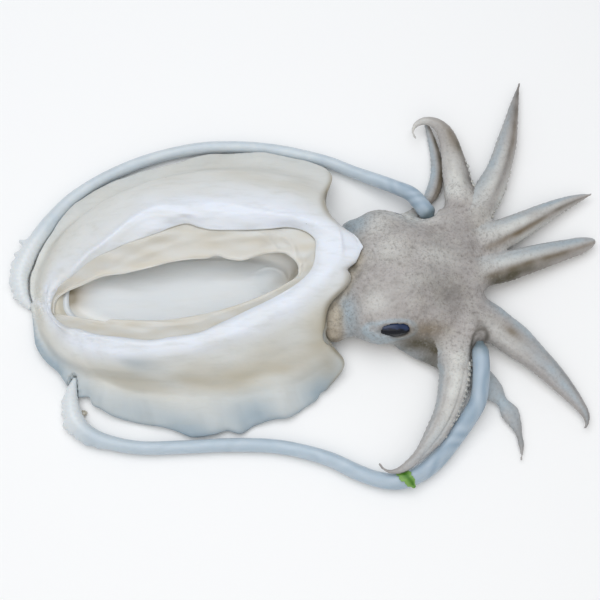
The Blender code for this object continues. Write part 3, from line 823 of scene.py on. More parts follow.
ARMS = (
    Arm((94.7, 55.9), 92, 16.3, 208.8, 0.49, 84, 21.6, 0.9, (11, 9), 0.76),
    Arm((67.7, 56.6), 35, 117.5, -49.2, 0.29, 69.4, 9.8, 0.45, (4.6, 3), 0.76),
    Arm((97, 46), 51.8, 40.8, -18.6, 0.45, 106.8, 21.9, 0.77, (11, 4), 0.76),
    Arm((98.6, 32.4), 20.7, 23, -27.4, 0.3, 84, 22.3, 0.67, (12, 5), 0.76),
    Arm((99, 13), 21.5, -5.8, 5.7, 0.72, 79.4, 20.3, 0.39, (12, 5), 0.76),
    Arm((97.9, -6.5), -30.9, -27.6, -76, 0.84, 96.2, 24, 0.69, (11, 4), 0.76),
    Arm((86, -22.7), -79.5, -74.5, -106.2, 0.79, 101.8, 22, 0.87, (11, 11.2), 0.76),
    Arm((68.3, -25.5), -23, -37.7, -39.2, 0.29, 93.4, 21.5, 0.75, (5.5, 2.4), 0.5),
)


def arm_line(shape, steps):
    """Centre points and widths along one arm, by walking along its heading.

    heading(t) = heading + bend * t + curl * ((t - curl_from) / (1 - curl_from))**2, and
    width(t) = width * (1 - t)**taper.
    """
    t = (np.arange(steps) + 0.5) / steps
    late = np.clip((t - shape.curl_from) / (1 - shape.curl_from), 0, 1)
    heading = np.radians(shape.heading + shape.bend * t + shape.curl * late ** 2)
    step = shape.length / steps
    x = shape.root[0] + np.append(0, np.cumsum(np.cos(heading))) * step
    y = shape.root[1] + np.append(0, np.cumsum(np.sin(heading))) * step
    t = np.linspace(0, 1, steps + 1)
    z = shape.heights[0] + (shape.heights[1] - shape.heights[0]) * t
    width = np.maximum(shape.width * (1 - t) ** shape.taper, ARM_TIP_WIDTH)
    back = math.radians(shape.heading)
    inner = (x[0] - ARM_INSET * math.cos(back), y[0] - ARM_INSET * math.sin(back), z[0])
    line = np.vstack([inner, np.stack([x, y, z], axis=1)])
    return line, np.append(width[0] * 0.8, width)


def carried(line, half_width, half_height, sides, swell=1.0):
    """A closed profile carried along a line: an upright oval, square to the line in the plan.

    swell scales the oval, with one number for each place on the surface.
    """
    step = heading(line)
    turn = np.linspace(0, 2 * math.pi, sides, endpoint=False)[None, :]
    out = swell * np.cos(turn) * half_width[:, None]
    up = swell * np.sin(turn) * half_height[:, None]
    x = line[:, :1] - step[:, 1:] * out
    y = line[:, 1:2] + step[:, :1] * out
    return np.stack([x, y, line[:, 2:3] + up], axis=-1)


# Waists and bulges along the arms: arm, share of the length, width of the place, change.
ARM_BULGES = (
    (0, 0.62, 0.10, 0.06), (2, 0.42, 0.08, -0.05), (2, 0.62, 0.08, 0.08), (4, 0.9, 0.07, 0.12),
    (5, 0.34, 0.06, 0.05), (5, 0.5, 0.08, -0.04), (6, 0.58, 0.06, 0.12), (6, 0.74, 0.05, -0.12),
    (7, 0.44, 0.08, 0.14), (7, 0.62, 0.045, -0.36), (7, 0.71, 0.04, 0.2), (7, 0.84, 0.05, -0.25),
)


def arm_swell(number, steps, sides):
    """How much an arm's section swells: round above, flat below, and keeled at both sides.

    It is 1 - 0.16 * (how far the point faces down), plus a narrow swelling a little below
    each side, which is the web that edges the suckers, plus the arm's own bulges.
    """
    turn = np.linspace(0, 2 * math.pi, sides, endpoint=False)[None, :]
    t = np.linspace(0, 1, steps)[:, None]
    down = np.maximum(-np.sin(turn), 0)
    keel = near(np.abs(np.cos(turn)), 0.93, 0.09) * (np.sin(turn) < 0.05)
    bulge = sum(change * near(t, share, wide) for arm, share, wide, change in ARM_BULGES if arm == number)
    return (1 - 0.16 * down + 0.03 * keel) * (1 + bulge)


# %% Join the lumps and arms
VOXEL = 0.78


def ellipsoid(centre, radii, rows=30, columns=48):
    """A sphere of rows and columns between two poles, stretched to three radii."""
    down = np.linspace(0, math.pi, rows + 2)[1:-1, None]
    turn = np.linspace(0, 2 * math.pi, columns, endpoint=False)[None, :]
    flat = np.stack([np.sin(down) * np.cos(turn), np.sin(down) * np.sin(turn),
                     np.cos(down) * np.ones_like(turn)], axis=-1)
    return np.array(centre) + flat * np.array(radii)


def joined(surfaces):
    """One list of points and one of faces for several closed lofts."""
    points, faces, start = [], [], 0
    for surface in surfaces:
        part = close(surface)
        faces += [[i + start for i in face] for face in loft_faces(*surface.shape[:2])]
        points.append(part)
        start += len(part)
    return np.concatenate(points), faces


def voxel_skin(name, points, faces, voxel):
    """The one skin round a heap of closed forms, with points about voxel millimetres apart."""
    mesh = new_mesh(name, points, faces)
    draft = bpy.data.objects.new(name, mesh)
    bpy.context.scene.collection.objects.link(draft)
    modifier = draft.modifiers.new("skin", "REMESH")
    modifier.mode = "VOXEL"
    modifier.voxel_size = voxel * MM
    graph = bpy.context.evaluated_depsgraph_get()
    skin = bpy.data.meshes.new_from_object(draft.evaluated_get(graph))
    bpy.data.objects.remove(draft, do_unlink=True)
    bpy.data.meshes.remove(mesh)
    return skin


arm_lines = [arm_line(shape, ARM_STEPS) for shape in ARMS]
surfaces = [ellipsoid(*LUMPS[name]) for name in LUMPS]
for k, (shape, (line, width)) in enumerate(zip(ARMS, arm_lines)):
    swell = arm_swell(k, len(line), ARM_SIDES)
    surfaces.append(carried(line, width / 2, width / 2 * shape.flatness, ARM_SIDES, swell))
head_mesh = voxel_skin("head_and_arms_skin", *joined(surfaces), VOXEL)
head_mesh.shade_smooth()


# %% Where each point lies on its arm
OnArm = namedtuple("OnArm", "number share side rise closeness")


def on_arm(points):
    """For each point its nearest arm, the share of its length, and the place in its section.

    side and rise run from -1 to 1 across and up the section. closeness is the distance to
    the arm's centre line in half widths, so the nearest arm is the one where it is least.
    """
    best = np.full(len(points), np.inf)
    number, share = np.zeros(len(points), int), np.zeros(len(points))
    side, rise = np.zeros(len(points)), np.zeros(len(points))
    for k, (shape, (line, width)) in enumerate(zip(ARMS, arm_lines)):
        line, half = line[1:], width[1:] / 2
        step = heading(line)
        i, off = nearest_on(points, line, 3)
        gone = points - line[i]
        ratio = off / half[i]
        closer = ratio < best
        across = (step[i, 0] * gone[:, 1] - step[i, 1] * gone[:, 0]) / half[i]
        best[closer], number[closer] = ratio[closer], k
        share[closer] = i[closer] / ARM_STEPS
        side[closer] = across[closer]
        rise[closer] = (gone[:, 2] / half[i] / shape.flatness)[closer]
    return OnArm(number, share, side, rise, best)


def relaxed(points, edges, weights, rounds):
    """Move each point towards the mean of its neighbours, rounds times, by its weight."""
    a, b = edges.T
    count = np.bincount(edges.ravel(), minlength=len(points))
    for _ in range(rounds):
        total = np.stack([np.bincount(a, points[b, k], len(points))
                          + np.bincount(b, points[a, k], len(points)) for k in range(3)], axis=1)
        points = points + weights[:, None] * (total / count[:, None] - points)
    return points


def edges_of(mesh):
    """The mesh's edges, as pairs of point numbers."""
    return rows_of(mesh.edges, "vertices", 2, np.int32)


def normals_of(mesh):
    """The directions that the mesh's points face."""
    return rows_of(mesh.vertex_normals, "vector", 3).astype(float)


def put(mesh, points):
    """Write places in plan millimetres back into a mesh."""
    mesh.vertices.foreach_set("co", at(points).astype(np.float32).ravel())
    mesh.update()


# %% Relax the head, and give its skin relief
EYE_RADII = (11.5, 4.8, 5.3)
NEAR_EYE = (50.4, -20.7, 20.2)
FAR_EYE = (50.3, 48.6, 13.5)
EYE_GAP = 0.3
LID_HEIGHT = 0.7
HEAD_FOLDS = (
    Fold(0.9, 1.2, 1.6, ((62, 43), (70, 44), (77, 45.5), (86, 49), (93, 56), (97, 62))),
    Fold(0.7, 1.4, 1.8, ((72, 26), (82, 25), (92, 24), (101, 23.5))),
    Fold(-0.8, 1.6, 1.2, ((76, 21), (88, 20.5), (100, 21.5), (107, 23))),
    Fold(0.5, 1.5, 2.0, ((68, 10), (80, 9), (92, 11), (104, 15))),
    Fold(-0.6, 1.2, 1.6, ((74, -8), (84, -5), (94, -4), (104, -4))),
    Fold(0.6, 1.8, 1.4, ((64, -4), (74, -9), (84, -14), (92, -20))),
    Fold(-0.5, 1.3, 1.5, ((70, 34), (80, 36), (90, 39), (99, 38))),
    Fold(0.6, 2.2, 1.4, ((34, 31), (41, 25), (44, 16), (43, 6))),
    Fold(-0.6, 1.6, 1.3, ((18, -24), (21, -16), (23.5, -8), (27, 0), (32, 8), (37, 14))),
    Fold(0.4, 0.9, 0.7, ((60, 19), (72, 18), (84, 18.5), (95, 17))),
    Fold(-0.4, 0.9, 0.9, ((66, 15), (78, 14), (90, 14.5), (102, 12))),
    Fold(-1.1, 2.0, 2.0, ((36, -19), (39, -20.5), (42, -21.5))),
    Fold(0.9, 2.0, 2.0, ((58.5, -20.5), (61, -20.5), (64, -20.5))),
)
RELAX_ROUNDS = 150
SCALLOP = 3.4                    # length of one scallop of the web that edges an arm

points = places_of(head_mesh) / MM + MIDDLE
arm = on_arm(points)
is_arm = fade(arm.share, 0.08, 0.34) * (1 - fade(arm.closeness, 1.6, 2.2))
lines = edges_of(head_mesh)
points = relaxed(points, lines, 0.5 * (1 - is_arm) ** 2 + 0.001, RELAX_ROUNDS)
points = relaxed(points, lines, np.full(len(points), 0.4), 3)
put(head_mesh, points)
facing = normals_of(head_mesh)
arm = on_arm(points)
is_arm = fade(arm.share, 0.06, 0.3) * (1 - fade(arm.closeness, 1.6, 2.2))
pebbles = 0.09 * wander(points, 3.4, 31, 24) + 0.05 * wander(points, 2.0, 32, 24)
swell = (0.35 * wander(points, 17, 33) + 0.14 * wander(points * (0.4, 1, 1), 5, 35)) * (1 - is_arm)
for fold in HEAD_FOLDS:
    swell += fold.height * along_fold(points, fold) * fade(facing[:, 2], 0.1, 0.5)
length = np.array([shape.length for shape in ARMS])[arm.number] * arm.share
groove = near(np.abs(arm.side), 0.56, 0.11) * fade(arm.rise, -0.1, 0.4)
scallops = 0.5 + 0.5 * np.cos(2 * math.pi * length / SCALLOP)
web = near(np.abs(arm.side), 1.0, 0.16) * near(arm.rise, -0.25, 0.35)
web = web * is_arm * (1 - fade(arm.share, 0.85, 1))
lift = pebbles * (1 - 0.6 * is_arm) + swell - 0.35 * groove * is_arm * (1 - fade(arm.share, 0.7, 0.95))
lift += web * (0.1 + 0.45 * scallops)
points = points + facing * lift[:, None]


# %% Seat the eyes and raise the lids
def seat_eye(points, centre, outwards):
    """Hollow a socket for an eye, and raise the skin round it into a lid.

    Points inside the grown eyeball go straight back to its far side. The lid is a ridge of
    skin where the distance in eye radii is a little over 1.
    """
    radii = np.array(EYE_RADII) + EYE_GAP
    outwards = np.array(outwards) / np.linalg.norm(outwards)
    gone, way = (points - centre) / radii, outwards / radii
    a, b, c = way @ way, gone @ way, (gone ** 2).sum(axis=1) - 1
    inside = c < 0
    back = (b + np.sqrt(np.maximum(b * b - a * c, 0))) / a
    far_out = np.sqrt((gone ** 2).sum(axis=1))
    moved = points + LID_HEIGHT * near(far_out, 1.22, 0.14)[:, None] * outwards
    moved[inside] = points[inside] - back[inside, None] * outwards
    return moved, far_out


POCKET_WIDE, POCKET_DEEP = 1.1, 3.5
POCKET_END = (0.16, 0.3)         # shares of the stretch beside the arms where the pocket runs out


def to_tentacle(points, route):
    """Distance to the first stretch of a tentacle's middle, in tentacle radii."""
    line = smooth_line(route[:3], 40)
    i, off = nearest_on(points, line, 3)
    return off / (line[i, 3] / 2)


def clear_of_tentacle(points, route):
    """Press the skin back where a tentacle comes out of it, and aside where one lies along it.

    In the pocket a point near the centre line moves towards the root by POCKET_DEEP *
    (1 - (distance / radius)**2). Beyond it, a point moves out to the radius.
    """
    line = smooth_line(route[:12], 120)
    i, off = nearest_on(points, line, 3)
    back = -heading(line, 3)
    share = i / len(line)
    wide = line[i, 3] / 2 + POCKET_WIDE
    deep = POCKET_DEEP * np.maximum(1 - (off / wide) ** 2, 0) * (1 - fade(share, *POCKET_END))
    moved = points + deep[:, None] * back[i]
    tight = line[i, 3] / 2 + EYE_GAP
    aside = np.maximum(tight - off, 0) * fade(share, *POCKET_END) * (i < len(line) - 1)
    away = points - line[i, :3]
    return moved + aside[:, None] * away / np.maximum(off, 0.1)[:, None]


tentacle_off = to_tentacle(points, NEAR_TENTACLE)
points = clear_of_tentacle(points, NEAR_TENTACLE)
points = clear_of_tentacle(points, FAR_TENTACLE)
points, near_eye_off = seat_eye(points, NEAR_EYE, (0.0, -0.72, 0.69))
points, _ = seat_eye(points, FAR_EYE, (0.0, 0.9, 0.43))
points[:, 2] = np.maximum(points[:, 2], 0)
put(head_mesh, points)

# %% Where the head's colours lie
# Many rows are painted light and shade: pale and blue along the sides of the arms turned to the light stand
# for light and highlight, and brown, olive and dark along the sides turned away stand for shade.
# Each row: arm, mask, side, side's width, share, share's width, strength.
ARM_TINTS = (
    (0, "pale", 0.2, 1.0, 0.16, 0.36, 1.0), (0, "dark", -0.6, 0.5, 0.22, 0.12, 0.5),
    (0, "dark", -0.85, 0.2, 0.25, 0.22, 0.8), (0, "brown_and_shade", -0.4, 0.8, 0.56, 0.14, 0.75),
    (0, "olive_shade", -0.8, 0.35, 0.47, 0.1, 0.7), (0, "pale", 0, 1.5, 0.9, 0.15, 0.9),
    (1, "blue", 0.7, 0.7, 0.4, 0.7, 1.0), (1, "olive_shade", -0.75, 0.65, 0.7, 0.35, 0.9),
    (1, "brown_and_shade", -0.75, 0.55, 0.35, 0.3, 0.8), (2, "pale", 0.3, 0.9, 0.28, 0.32, 0.9),
    (2, "blue", 0.7, 0.5, 0.45, 0.4, 0.8), (2, "dark", -0.5, 0.25, 0.45, 0.3, 0.7),
    (2, "brown_and_shade", -0.6, 0.35, 0.65, 0.15, 0.6), (2, "dark", -0.2, 1.2, 0.9, 0.22, 0.9),
    (2, "pale", -0.95, 0.18, 0.2, 0.2, 0.9), (3, "blue", 0.6, 0.4, 0.65, 0.5, 0.9),
    (3, "pale", 0.15, 0.6, 0.35, 0.45, 1.0), (3, "brown_and_shade", -0.58, 0.2, 0.35, 0.35, 1.0),
    (3, "olive_shade", -0.5, 0.25, 0.8, 0.25, 0.6), (3, "pale", -1.0, 0.22, 0.45, 0.3, 1.0),
    (4, "blue", 0.5, 0.5, 0.7, 0.5, 1.0), (4, "pale", 0.2, 0.6, 0.35, 0.45, 1.0),
    (4, "brown_and_shade", -0.5, 0.26, 0.45, 0.6, 0.9), (4, "olive_shade", -0.85, 0.4, 0.25, 0.4, 1.0),
    (5, "blue", 0.75, 0.35, 0.25, 0.4, 0.9), (5, "brown_and_shade", 0.0, 0.3, 0.27, 0.08, 0.7),
    (5, "dark", 0.65, 0.2, 0.65, 0.25, 0.8), (5, "blue", -0.1, 0.5, 0.7, 0.3, 0.9),
    (5, "pale", -0.5, 0.5, 0.25, 0.2, 0.6), (5, "dark", 0.2, 1.2, 0.97, 0.08, 0.9),
    (6, "blue", -0.9, 0.25, 0.3, 0.4, 0.6), (6, "pale", 0.2, 0.9, 0.3, 0.4, 1.0),
    (6, "dark", 0.5, 0.06, 0.5, 0.25, 0.6), (6, "blue", 0.4, 0.7, 0.7, 0.2, 0.5),
    (6, "dark", -0.2, 1.2, 0.95, 0.07, 0.5), (7, "blue", 0.0, 1.5, 0.55, 0.3, 1.0),
    (7, "olive_shade", -0.5, 1.5, 0.04, 0.22, 1.0), (7, "dark", 0.0, 1.2, 0.85, 0.1, 0.7),
)
# Some patches are painted light and shade: the pale one along the far edge at (66, 50) is painted light on
# skin turned away from the lamp, the blue one at (27, -12) is a painted highlight on the near cheek, the
# olive ones at (66, -27.5) and (30.5, 14) are painted shade under the near cheek and in the gap under the
# mantle's lobe, and the brown one at (17, -24) is painted shade at the near neck.
# Each row: mask, strength, place in the plan, how wide and how deep, degrees turned.
SKIN_PATCHES = (
    ("pale", 1.0, (66, 50), 14, 6, 0), ("pale", 0.6, (44, 40), 10, 8, 0), ("pale", 0.5, (50, 22), 11, 9, 0),
    ("pale", 0.6, (78, 20), 12, 7, 0), ("pale", 0.4, (66, 4), 12, 5, 20), ("pale", 0.6, (42, -8), 8, 7, 0),
    ("blue", 1.0, (27, -12), 5, 14, 12), ("blue", 1.2, (31, 43), 8, 9, -30),
    ("blue", 0.15, (56, 47), 24, 2.5, -6), ("blue", 0.9, (47, -28.5), 16, 4.0, -6),
    ("dark", 0.1, (90, 25), 14, 9, 0), ("dark", 0.3, (86, -2), 8, 12, 0),
    ("brown_and_shade", 0.85, (72, -21.5), 12, 4.5, 4), ("brown_and_shade", 0.4, (17, -24), 9, 9, 0),
    ("olive_shade", 1.0, (66, -27.5), 10, 3.2, -4), ("olive_shade", 0.6, (30.5, 14), 2.4, 3.6, 20),
)


def head_masks(points):
    """The weight of each colour at each point of the head and arms."""
    names = ("blue", "brown_and_shade", "pale", "olive_shade", "dark")
    masks = {name: np.zeros(len(points)) for name in names}
    cloud = 0.9 + 0.2 * wander(points, 9, 34)
    for number, mask, side, side_width, share, share_width, strength in ARM_TINTS:
        here = (arm.number == number) * (1 - fade(arm.closeness, 1.7, 2.4)) * fade(arm.share, 0.0, 0.12)
        here = here * near(arm.side, side, side_width) * near(arm.share, share, share_width)
        masks[mask] += strength * here * cloud
    for mask, strength, place, wide, deep, turned in SKIN_PATCHES:
        masks[mask] += strength * patch(points, place, wide, deep, turned)
    under_cheek = 1 - fade(points[:, 2], 12, 16)
    # Painted shine on the lid round the near eye.
    masks["blue"] += 0.9 * near(near_eye_off, 1.28, 0.14)
    masks["blue"] += 0.4 * patch(points, (72, -38), 13, 5, -25) * under_cheek
    masks["dark"] += 0.45 * patch(points, (80, 0), 17, 9, -8) * cloud
    # Painted shade in the crease round the near eye and round the mouth of the near tentacle's pocket.
    masks["dark"] += 0.9 * near(near_eye_off, 1.03, 0.06) + 0.8 * near(tentacle_off, 1.0, 0.3)
    # Painted shade low under the near cheek.
    masks["dark"] += 0.9 * patch(points, (70, -37), 13, 7, -25) * under_cheek
    # Painted shade round the mouth of the near tentacle's pocket.
    masks["olive_shade"] += 0.3 * near(tentacle_off, 1.0, 0.25)
    # Painted shade where the head's skin comes down to the board.
    low_skin = (1 - fade(points[:, 2], 2, 7)) * (arm.share < 0.1)
    masks["brown_and_shade"] += 0.4 * low_skin
    neck_edge = 22.5 + 0.5 * np.clip(points[:, 1] + 6, 0, 22) + 1.2 * wander(points, 9, 36)
    masks["tan"] = 0.75 * fade(neck_edge - points[:, 0], -5, 4) * (1 - fade(points[:, 1], 22, 30))
    # Painted shade in the crease where the near cheek meets the neck.
    masks["brown_and_shade"] += 0.2 * near(points[:, 0] - neck_edge, -0.5, 1.5) * (1 - fade(points[:, 1], 0, 14))
    masks["spread"] = 1 - 0.6 * is_arm - 0.5 * patch(points, (48, -8), 14, 14)
    return masks


head = new_piece("head_and_arms_skin", head_mesh, head_masks(points))

# %% [markdown]
# ## Tentacles and eyes
#
# A feeding tentacle is a smooth, almost round stalk that ends in a flattened club. The stalk is
# a profile carried along a route, a little uneven in width, and the club has a frilled edge.
# Each eyeball is an ellipsoid, most of it sunk in its socket.

# %% Tentacles
TENTACLE_STEPS = 420
TENTACLE_SIDES = 32
SLIMMER = 0.985                  # a stalk is a little slimmer than its route says
ROOT_TAPER = 0.03                # share of the length over which a root widens from its end
ROOT_NARROW = 0.55               # how much thinner the very end of a root is
ROOT_SHADE = 0.045               # share of the length over which a root is darker


# Lobes of the clubs, on their outer side: share of the route, width of the place, millimetres.
FAR_LOBES = (
    (0.80, 0.006, 5.0), (0.831, 0.008, 2.8), (0.858, 0.009, 2.2), (0.878, 0.005, 1.2),
    (0.905, 0.009, 2.4), (0.926, 0.005, 1.4), (0.945, 0.007, 2.0), (0.965, 0.006, 1.0),
)
NEAR_LOBES = (
    (0.79, 0.006, 0.8), (0.815, 0.010, 1.6), (0.833, 0.007, 1.8), (0.848, 0.006, 2.4),
    (0.863, 0.008, 3.4), (0.887, 0.006, 1.9), (0.903, 0.005, 0.9), (0.918, 0.012, 1.5),
)


def tentacle_piece(name, route, club_from, outer_side, lobes, skipped, shaded_until, milky_from, seed):
    """A feeding tentacle: a round profile carried along its route, with its masks.

    On the outer side of the club each lobe is a bump of its own height and width. The first
    steps of the route, skipped, are left off, so that the stalk stays clear of the head's skin.
    """
    line = smooth_line(route, TENTACLE_STEPS)[skipped:]
    t = np.linspace(0, 1, TENTACLE_STEPS)[skipped:, None]
    start = skipped / TENTACLE_STEPS
    line[:, 3:] *= 1 - ROOT_NARROW * (1 - fade(t - start, 0, ROOT_TAPER)) ** 2
    dice = np.random.default_rng(seed)
    phase = dice.uniform(0, 6, 3)

    turn = np.linspace(0, 2 * math.pi, TENTACLE_SIDES, endpoint=False)[None, :]
    club = fade(t, club_from, club_from + 0.06)
    outer = np.maximum(np.cos(turn + 0.35 * outer_side) * outer_side, 0) ** 3
    lobe = outer * sum(height * near(t, share, wide) for share, wide, height in lobes)
    uneven = 0.012 * np.sin(t * 31 + turn + phase[1]) + 0.008 * np.sin(t * 67 + 2 * turn + phase[2])
    uneven = uneven + 0.02 * np.cos(3 * turn + 4 * t + phase[0]) - 0.015
    uneven = uneven + 0.03 * club * np.sin(t * 410 + 2 * turn) * np.sin(3 * turn + phase[0])
    swell = SLIMMER + uneven - 0.08 * club + lobe / (line[:, 3:] / 2)
    surface = carried(line[:, :3], line[:, 3] / 2, line[:, 3] / 2, TENTACLE_SIDES, swell)
    points = close(surface)
    points = np.clip(points, *(np.array(cad_box) / MM + MIDDLE))
    t = np.append(np.repeat(t[:, 0], TENTACLE_SIDES), [0, 1])
    turn = np.append(np.tile(turn[0], len(line)), [0, 0])
    club = fade(t, club_from, club_from + 0.08)
    low = fade(-np.sin(turn), -0.2, 0.8)
    milky = fade(t, *milky_from)
    # Painted shade: deep darkens the first stretch of the stalk, low its underside, and root the end where it
    # comes out from under the head's skin.
    masks = {"club": club, "low": low, "milky": milky, "deep": 1 - fade(t, *shaded_until),
             "root": 1 - fade(t - start, 0, ROOT_SHADE),
             "streak": 0.5 + 0.5 * np.sin(turn * 3 + 5 * wander(points, 30, seed))}
    mesh = new_mesh(name, points, loft_faces(*surface.shape[:2]))
    return new_piece(name, mesh, masks)


far_tentacle = tentacle_piece(
    "far_tentacle_skin", FAR_TENTACLE, club_from=0.74, outer_side=-1, lobes=FAR_LOBES, skipped=11,
    shaded_until=(0.1, 0.25), milky_from=(0.12, 0.45), seed=41)
near_tentacle = tentacle_piece(
    "near_tentacle_skin", NEAR_TENTACLE, club_from=0.8, outer_side=1, lobes=NEAR_LOBES, skipped=26,
    shaded_until=(0.3, 0.55), milky_from=(0.6, 0.95), seed=42)

# %% Eyes
eyes = {}
for name, centre in (("near_eye_cornea", NEAR_EYE), ("far_eye_cornea", FAR_EYE)):
    surface = ellipsoid(centre, EYE_RADII, 40, 64)
    points = close(surface)
    upper = fade(points[:, 1] + 0.35 * wander(points, 2.2, 43), centre[1] - 2.4, centre[1] - 1.2)
    eyes[name] = new_piece(name, new_mesh(name, points, loft_faces(*surface.shape[:2])), {"upper": upper})

# %% [markdown]
# ## Suckers, and two loose scraps
#
# Each arm has two rows of suckers under its edges, and they show as a pale beaded fringe where
# an edge turns up. A sucker is a small cup on a short stalk: one profile turned about its axis,
# with few faces, because there are hundreds. They are joined in one mesh. Each sits on the
# point of the skin that is nearest to its place in the row.

# %% Cups
CUP_SIDES = 9
CUP_PROFILE = np.array([(0.55, -0.35), (0.72, 0.1), (1.0, 0.5), (0.86, 0.82), (0.5, 0.62), (0.2, 0.35)])


def cups(places, facing, radii):
    """Suckers at the places, each turned to face its own way, as points and faces.

    A cup is CUP_PROFILE, in radii out from the axis and up along it, turned about the axis.
    """
    facing = facing / np.linalg.norm(facing, axis=1, keepdims=True)
    first = np.cross(facing, (0.31, 0.17, 0.93))
    first /= np.linalg.norm(first, axis=1, keepdims=True)
    second = np.cross(facing, first)
    turn = np.linspace(0, 2 * math.pi, CUP_SIDES, endpoint=False)
    flat = (np.cos(turn)[None, :, None] * first[:, None] + np.sin(turn)[None, :, None] * second[:, None])
    out, up = CUP_PROFILE.T
    shape = flat[:, None] * out[None, :, None, None] + facing[:, None, None] * up[None, :, None, None]
    return joined(places[:, None, None] + radii[:, None, None, None] * shape)


def cup_masks(points):
    """The weight of shade inside each cup: high at the last points of every cup."""
    size = len(CUP_PROFILE) * CUP_SIDES + 2
    row = np.arange(size) // CUP_SIDES
    return {"hollow": np.tile((row >= len(CUP_PROFILE) - 1).astype(float), len(points) // size)}


# %% Suckers of the arms
# Each row: arm, side, height in half heights, how far the edge turns up, first and last share.
SUCKER_ROWS = (
    (0, -0.97, -0.2, 0.1, 0.12, 0.5), (0, -0.8, 0.3, 0.1, 0.16, 0.36), (0, 0.8, -0.6, 0, 0.3, 0.9),
    (1, 0.8, -0.6, 0, 0.3, 0.9), (1, -0.8, -0.6, 0, 0.3, 0.9), (2, -0.98, -0.2, 0.1, 0.06, 0.42),
    (2, 0.8, -0.6, 0, 0.25, 0.92), (3, -0.85, -0.6, 0, 0.2, 0.9), (3, 0.8, -0.6, 0, 0.2, 0.9),
    (4, -0.85, -0.6, 0, 0.2, 0.9), (4, 0.85, -0.6, 0, 0.2, 0.9), (5, -0.85, -0.6, 0, 0.2, 0.9),
    (5, 0.85, -0.6, 0, 0.2, 0.9), (6, 0.98, -0.1, 0.1, 0.14, 0.62), (6, 0.84, 0.32, 0.1, 0.16, 0.5),
    (6, -0.85, -0.6, 0, 0.2, 0.9),
)
SUCKER_SPACING = 2.5
SUCKER_SHARE = 0.062             # a sucker's radius, as a share of the arm's width

dice = np.random.default_rng(51)
skin = places_of(head_mesh) / MM + MIDDLE
skin_facing = normals_of(head_mesh)
places, facing, radii = [], [], []
for number, side, rise, tilt, first, last in SUCKER_ROWS:
    shape, (line, width) = ARMS[number], arm_lines[number]
    count = int(shape.length * (last - first) / SUCKER_SPACING)
    share = np.linspace(first, last, count) + dice.uniform(-0.004, 0.004, count)
    where = 1 + share * ARM_STEPS
    centre = np.stack([np.interp(where, np.arange(len(line)), line[:, k]) for k in range(3)], axis=1)
    half = np.interp(where, np.arange(len(line)), width) / 2
    step = heading(centre)
    left = np.stack([-step[:, 1], step[:, 0], np.zeros(count)], axis=1)
    upwards = np.array([0, 0, 1.0])
    aim = centre + left * (side * half)[:, None] + upwards * (rise * half * shape.flatness)[:, None]
    seat = np.array([((skin - place) ** 2).sum(axis=1).argmin() for place in aim])
    size = 2 * half * SUCKER_SHARE * dice.uniform(0.6, 1.2, count) + 0.15
    places.append(skin[seat] - skin_facing[seat] * size[:, None] * dice.uniform(0.1, 0.45, (count, 1)))
    facing.append(skin_facing[seat] + upwards * tilt + dice.normal(0, 0.2, (count, 3)))
    radii.append(size)
places, facing, radii = np.concatenate(places), np.concatenate(facing), np.concatenate(radii)
points, faces = cups(places, facing, radii)
points[:, 2] = np.maximum(points[:, 2], 0)
print("suckers on the arms:", len(places))
arm_suckers = new_piece("arm_suckers", new_mesh("arm_suckers", points, faces), cup_masks(points))

# %% One loose sucker
LOOSE_PLACE = (-122.1, -64.9, 0.75)
points, faces = cups(np.array([LOOSE_PLACE]), np.array([(0.1, 0.05, 1.0)]), np.array([2.0]))
points = LOOSE_PLACE + (points - LOOSE_PLACE) * (1.05, 0.85, 1)
points[:, 2] = np.maximum(points[:, 2], 0)
loose_sucker = new_piece("loose_sucker", new_mesh("loose_sucker", points, faces), cup_masks(points))

# %% A scrap of leaf
# A torn scrap of a soft green leaf lies over the near tentacle. Its surface is a grid along
# and across the scrap, laid on the stalk, with a ragged outline.
LEAF_FROM, LEAF_TO = (54.0, -98.6), (63.2, -108.6)
LEAF_HALF_WIDTH = 4.3
LEAF_THICK = 0.3
LEAF_LIFT = 0.35
LEAF_STEPS, LEAF_ACROSS = 36, 24


def leaf_surface():
    """Rings round the scrap from one end to the other: out along its top, back below."""
    u = np.linspace(0, 1, LEAF_STEPS)
    outline = np.sin(math.pi * np.clip(u * 0.92 + 0.04, 0, 1)) ** 0.5 * (1.05 - 0.55 * u)
    ragged = 1 + 0.13 * np.sin(u * 19) + 0.08 * np.sin(u * 41 + 1)
    half = LEAF_HALF_WIDTH * outline * ragged
    v = np.cos(np.linspace(0, 2 * math.pi, LEAF_ACROSS, endpoint=False))
    side = np.sin(np.linspace(0, 2 * math.pi, LEAF_ACROSS, endpoint=False))
    along = np.array(LEAF_TO) - LEAF_FROM
    across = np.array([-along[1], along[0]]) / np.linalg.norm(along)
    plan = np.array(LEAF_FROM) + u[:, None, None] * along + (half[:, None] * v)[..., None] * across
    flat = np.concatenate([plan.reshape(-1, 2), np.zeros((plan.shape[0] * plan.shape[1], 1))], axis=1)
    stalk = smooth_line(NEAR_TENTACLE, 400)
    i, off = nearest_on(flat, stalk)
    radius = stalk[i, 3] / 2
    top = stalk[i, 2] + np.sqrt(np.maximum(radius ** 2 - np.minimum(off, 0.93 * radius) ** 2, 0)) + LEAF_LIFT
    curl = 0.5 * np.abs(v[None, :]) ** 3 * np.sin(u * 9)[:, None] ** 2
    z = top.reshape(LEAF_STEPS, LEAF_ACROSS) + curl + LEAF_THICK * np.sign(side) * np.sqrt(np.abs(side)) / 2
    core = near(np.repeat(v[None], LEAF_STEPS, axis=0), 0.15, 0.5) * fade(u, 0.1, 0.35)[:, None]
    return np.concatenate([plan, z[..., None]], axis=-1), core


